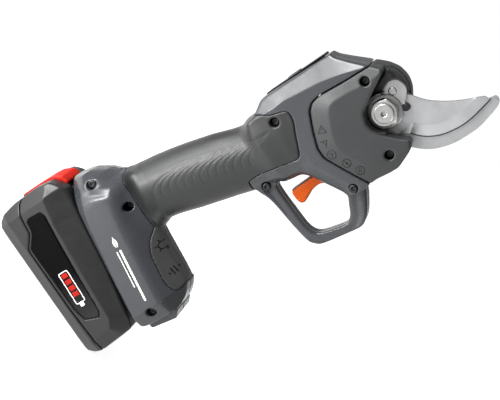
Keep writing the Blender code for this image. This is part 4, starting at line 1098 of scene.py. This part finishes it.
def offset(points, amount):
    """A line moved sideways, to its left where the amount is positive."""
    points = np.array(points, float)
    ahead = np.gradient(points, axis=0)
    ahead /= np.linalg.norm(ahead, axis=1)[:, None]
    return [tuple(point) for point in points + amount * np.stack([-ahead[:, 1], ahead[:, 0]], axis=1)]


def sheet_metal(name, outline, holes, near, far, lines, material, body, rim=0.35, nodes=None):
    """A plate with clean cut edges. near is a function of (x, z), and lines are creases on that face."""
    rings = [outline] + [arc(radius, 0.0, 352.5, 48, centre) for centre, radius in holes]
    points, edges = [], []
    for ring in rings:
        start = len(points)
        points += [Vector(point) for point in ring]
        edges += [(start + k, start + (k + 1) % len(ring)) for k in range(len(ring))]
    for line in lines:
        start = len(points)
        points += [Vector(point) for point in line]
        edges += [(start + k, start + k + 1) for k in range(len(line) - 1)]
    flat, _, faces, _, _, _ = mathutils.geometry.delaunay_2d_cdt(points, edges, [], 0, 1e-4)
    flat = np.array([tuple(point) for point in flat])
    faces = np.array(faces)
    centres = flat[faces].mean(axis=1)
    keep = distance(centres[:, 0], centres[:, 1], outline) < 0
    for centre, radius in holes:
        keep &= np.hypot(centres[:, 0] - centre[0], centres[:, 1] - centre[1]) > radius * 0.999
    faces = faces[keep]
    used, faces = np.unique(faces, return_inverse=True)
    flat, faces = flat[used], faces.reshape(-1, 3)
    edge = np.abs(distance(flat[:, 0], flat[:, 1], outline))
    front = near(flat[:, 0], flat[:, 1]) + np.maximum(rim - edge, 0.0) * 0.9
    count = len(flat)
    near_points = np.stack([flat[:, 0], front, flat[:, 1]], axis=1)
    far_points = np.stack([flat[:, 0], np.full(count, far), flat[:, 1]], axis=1)
    sides = np.concatenate([faces[:, [0, 1]], faces[:, [1, 2]], faces[:, [2, 0]]])
    _, first, uses = np.unique(np.sort(sides, axis=1), axis=0, return_index=True, return_counts=True)
    rim_edges = sides[first[uses == 1]]
    walls = np.concatenate([
        np.stack([rim_edges[:, 1], rim_edges[:, 0], rim_edges[:, 0] + count], axis=1),
        np.stack([rim_edges[:, 1], rim_edges[:, 0] + count, rim_edges[:, 1] + count], axis=1),
    ])
    everything = np.concatenate([faces, faces[:, ::-1] + count, walls])
    made = mesh_object(name, np.concatenate([near_points, far_points]), everything)
    return crisp(made, material, body, nodes or (name,), 14.0)


def crisp(made, material, body, nodes, angle=30.0):
    """Outward faces with edges that stay sharp above an angle."""
    builder = bmesh.new()
    builder.from_mesh(made.data)
    bmesh.ops.recalc_face_normals(builder, faces=builder.faces)
    builder.to_mesh(made.data)
    builder.free()
    made.data.set_sharp_from_angle(angle=math.radians(angle))
    return finish_piece(made, material, body, nodes)


BLADE_BEVEL = 8.5
BEVEL_SLOPE = 0.28


def cutting_blade():
    low, high = layer("cutting_blade")
    edge_line = chaikin_open(((60.5, 328.6),) + BLADE_EDGE)
    hub = arc(17.6, 2.0, -222.0, 60)
    outline = chaikin_open(BLADE_SPINE) + edge_line + hub
    grind = [point for point in offset(edge_line, -BLADE_BEVEL) if point[1] < 322.0]

    def near(x, z):
        reach = distance(x, z, edge_line, closed=False)
        return low + BEVEL_SLOPE * np.maximum(BLADE_BEVEL - reach, 0.0) + 0 * x

    def edge_face(x, z):
        return near(x, z) - 0.05

    sheet_metal("cutting_blade", outline, BLADE_HOLES, near, high, (grind,), STEEL, "blade", 0.2)
    # Painted shade: a thin dark steel strip along the cutting edge stands in for the shadowed edge wall and
    # the gap between the blades.
    inner = offset(edge_line, -0.7)
    sheet_metal("blade_edge_shade", edge_line + inner[::-1], (), edge_face, low + 3.0, (), DARK_STEEL,
                "blade", 0.0, ("cutting_blade",))


def counter_blade():
    low, high = layer("counter_blade")
    outline = chaikin_open(COUNTER_OUTER) + arc(18.5, -25.0, -250.0, 60) + chaikin_open(COUNTER_INNER)
    back = chaikin_open(COUNTER_OUTER[3:12])

    def near(x, z):
        reach = distance(x, z, back, closed=False)
        return low + 0.5 * np.clip(1.6 - np.abs(reach - 3.4), 0.0, 0.5)

    lines = [offset(back, amount) for amount in (1.8, 2.3, 4.5, 5.0)]
    sheet_metal("counter_blade", outline, COUNTER_HOLES, near, high, lines, STEEL, "tool", 0.5)


TEETH, TOOTH_PITCH, FIRST_TOOTH = 9, 7.2, 265.2
TOOTH = ((1.9, 28.6), (1.1, 30.8), (-1.1, 30.8), (-1.9, 28.6))


def drive_plate():
    """The pear-shaped plate and, behind the cover, its toothed sector."""
    low, high = layer("drive_gear")
    teeth = []
    for number in range(TEETH):
        middle = FIRST_TOOTH - TOOTH_PITCH * number
        for turn, radius in TOOTH:
            teeth += arc(radius, middle + turn, middle + turn, 1)
    outline = chaikin_open(PEAR) + arc(12.4, -38.0, -90.0, 12) + teeth + arc(13.6, 184.0, 162.0, 6)
    sheet_metal("drive_gear", outline, BLADE_HOLES, lambda x, z: low + 0 * x, high, (), PLATE,
                "blade", 0.3)


SEGMENTS = 120


def turned(name, centre, rings, material, body, slot, angle=30.0, nodes=None):
    """Rings joined one to the next round an axis along y. A radius can be a function of the angle."""
    turns = np.arange(SEGMENTS) * 2 * math.pi / SEGMENTS + HEX_TURN
    points = []
    for radius, depth in rings:
        reach = radius(turns) if callable(radius) else np.full(SEGMENTS, radius)
        level = depth(turns) if callable(depth) else np.full(SEGMENTS, depth)
        x, z = centre[0] + reach * np.cos(turns), centre[1] + reach * np.sin(turns)
        points.append(np.stack([x, level, z], axis=1))
    ring = np.arange(SEGMENTS)
    following = (ring + 1) % SEGMENTS
    faces = []
    count = len(rings)
    closed_ring = rings[0] == rings[-1]
    last = count - 1 if closed_ring else count
    for k in range(count - 1):
        a, b = k * SEGMENTS, ((k + 1) % last) * SEGMENTS
        faces.append(np.stack([ring + a, following + a, following + b, ring + b], axis=1))
    points = np.concatenate(points[:last])
    made_faces = np.concatenate(faces)
    if closed_ring:
        return crisp(mesh_object(name, points, made_faces), material, body, nodes or (name,), angle)
    start, end = np.array([[centre[0], rings[0][1], centre[1]], [centre[0], rings[-1][1], centre[1]]])
    points = np.concatenate([points, [start, end]])
    tip, tail = len(points) - 2, len(points) - 1
    base = (last - 1) * SEGMENTS
    made = bpy.data.meshes.new(name)
    caps = [(int(j), int(i), tip) for i, j in zip(ring, following)]
    caps += [(int(i) + base, int(j) + base, tail) for i, j in zip(ring, following)]
    quads = [tuple(int(corner) for corner in face) for face in made_faces]
    made.from_pydata([tuple(point * MM) for point in points], [], quads + caps)
    made.polygons.foreach_set("use_smooth", np.ones(len(made.polygons), bool))
    thing = bpy.data.objects.new(name, made)
    bpy.context.scene.collection.objects.link(thing)
    return crisp(thing, material, body, nodes or (name,), angle)


def hex_radius(across_flats):
    def radius(turns):
        return across_flats / 2 / np.cos((turns - HEX_TURN) % (math.pi / 3) - math.pi / 6)
    return radius


def pivot():
    low, bolt_high = layer("pivot_bolt")
    nut_low, nut_high = layer("pivot_nut")
    sides = hex_radius(NUT_FLATS)
    flange = nut_high - 1.6

    def chamfer(turns):
        return nut_low + 0.45 * np.maximum(sides(turns) - 8.4, 0.0)

    rings = [(5.3, nut_low + 0.3), (5.6, nut_low), (8.4, nut_low), (sides, chamfer), (sides, flange - 1.2),
             (9.7, flange - 0.2), (11.4, flange + 0.1), (12.0, flange + 0.6), (12.0, nut_high),
             (5.3, nut_high), (5.3, nut_low + 0.3)]
    turned("pivot_nut", PIVOT, rings, BRIGHT, "tool", "bright_steel", 9.0)
    socket = hex_radius(SOCKET_FLATS)
    rings = [(0.6, low + 2.4), (socket, low + 2.4), (socket, low + 0.2), (2.3, low), (6.2, low),
             (6.7, low + 0.3), (6.7, nut_low - 0.3), (5.0, nut_low - 0.3), (5.0, 6.9), (8.4, 6.9),
             (8.4, bolt_high - 0.8), (7.6, bolt_high), (4.0, bolt_high)]
    turned("pivot_bolt", PIVOT, rings, BRIGHT, "tool", "bright_steel", 9.0)
    pins = (("drive_rivet", RIVET, PLATE, "steel"), ("drive_pin", DRIVE_PIN, DARK_STEEL, "black_steel"))
    for name, place, material, kind in pins:
        low, high = layer(name)
        rings = [(0.8, low), (2.2, low), (2.6, low + 0.3), (2.6, high - 0.3), (2.3, high), (0.8, high)]
        turned(name, place, rings, material, "blade", kind)


SHROUD_ARC, SHROUD_LOW = (150.0, 334.0), -21.0
SHADE_LIP = ((12.6, 284.5), (4.5, 284.0), (12.0, 266.0), (17.4, 264.0), (17.0, 268.0), (14.4, 274.0), (11.9, 279.2))


def nut_shade_shroud():
    """Painted shade: a black wall round the nut and a black lip beside the drive plate, where the recess lies
    in shadow.
    """
    low, high = SHROUD_LOW, layer("drive_gear")[0] - 0.4
    grid = Grid((3.5, low - 0.6, PIVOT[1] - 16.0), (PIVOT[0] + 16.0, high + 0.6, 285.5), 0.5)
    reach = np.hypot(grid.x - PIVOT[0], grid.z - PIVOT[1])
    turn = (np.degrees(np.arctan2(grid.z - PIVOT[1], grid.x - PIVOT[0])) - SHROUD_ARC[0]) % 360.0
    inside = np.minimum(turn, SHROUD_ARC[1] - SHROUD_ARC[0] - turn)
    across = common(np.abs(reach - 13.3) - 1.0, -np.radians(inside) * reach)
    wall = slab(across, np.abs(grid.y - (low + high) / 2) - (high - low) / 2, 0.3)
    # Painted shade: the black lip fills the shadowed wedge between the cover's edge and the drive plate.
    lip = slab(distance(grid.x, grid.z, SHADE_LIP), np.abs(grid.y - high + 0.8) - 0.8, 0.2)
    wall = union(wall, lip, 0.3)
    piece("nut_shade_shroud", wall, grid, BLACK, "tool", ("gear_cover_left",))


def screw(name, x, z, y, length, material):
    """A round-headed screw with a six-lobed recess."""
    def lobes(turns):
        return 1.35 + 0.28 * np.cos(6 * turns)

    rings = [(0.9, y + 1.4), (lobes, y + 1.3), (lobes, y + 0.1), (1.9, y), (2.4, y + 0.15), (2.8, y + 0.6),
             (2.9, y + 1.0), (2.9, y + 2.2), (1.3, y + 2.3), (1.3, y + length - 0.8), (0.6, y + length)]
    turned(name, (x, z), rings, material, "tool", "black_steel", 35.0)


HEAD_HEIGHT = 2.5
DEEP_SCREWS, EXTRA_SINK = 4, 0.8


def screws():
    for number, (x, z, depth) in enumerate(HOUSING_SCREWS, 1):
        # Painted shade: the deepest housing screws and the cover screws are black plastic, standing in for
        # the shade inside their deep holes.
        deep = number <= DEEP_SCREWS
        y = -depth - HEAD_HEIGHT + HOLE_SINK[number - 1] + (EXTRA_SINK if deep else 0.0)
        screw("housing_screw_%d" % number, x, z, y, 9.0, BLACK if deep else DARK_STEEL)
    for number, (x, z) in enumerate(COVER_SCREWS, 1):
        screw("cover_screw_%d" % number, x, z, -COVER_SCREW_DEPTH - HEAD_HEIGHT, 7.0, BLACK)


# ---------------------------------------------------------------- the whole

def build():
    camera()
    studio()
    dress_nodes()
    housings(NEAR, "left", NEAR_STEP)
    housings(AWAY, "right", FAR_STEP)
    battery(0.6)
    release_button(0.5)
    trigger(0.4)
    trigger_insert(0.4)
    control_panel(0.35)
    screws()
    cutting_blade()
    counter_blade()
    drive_plate()
    pivot()
    nut_shade_shroud()
    signs()
    badges()


build()
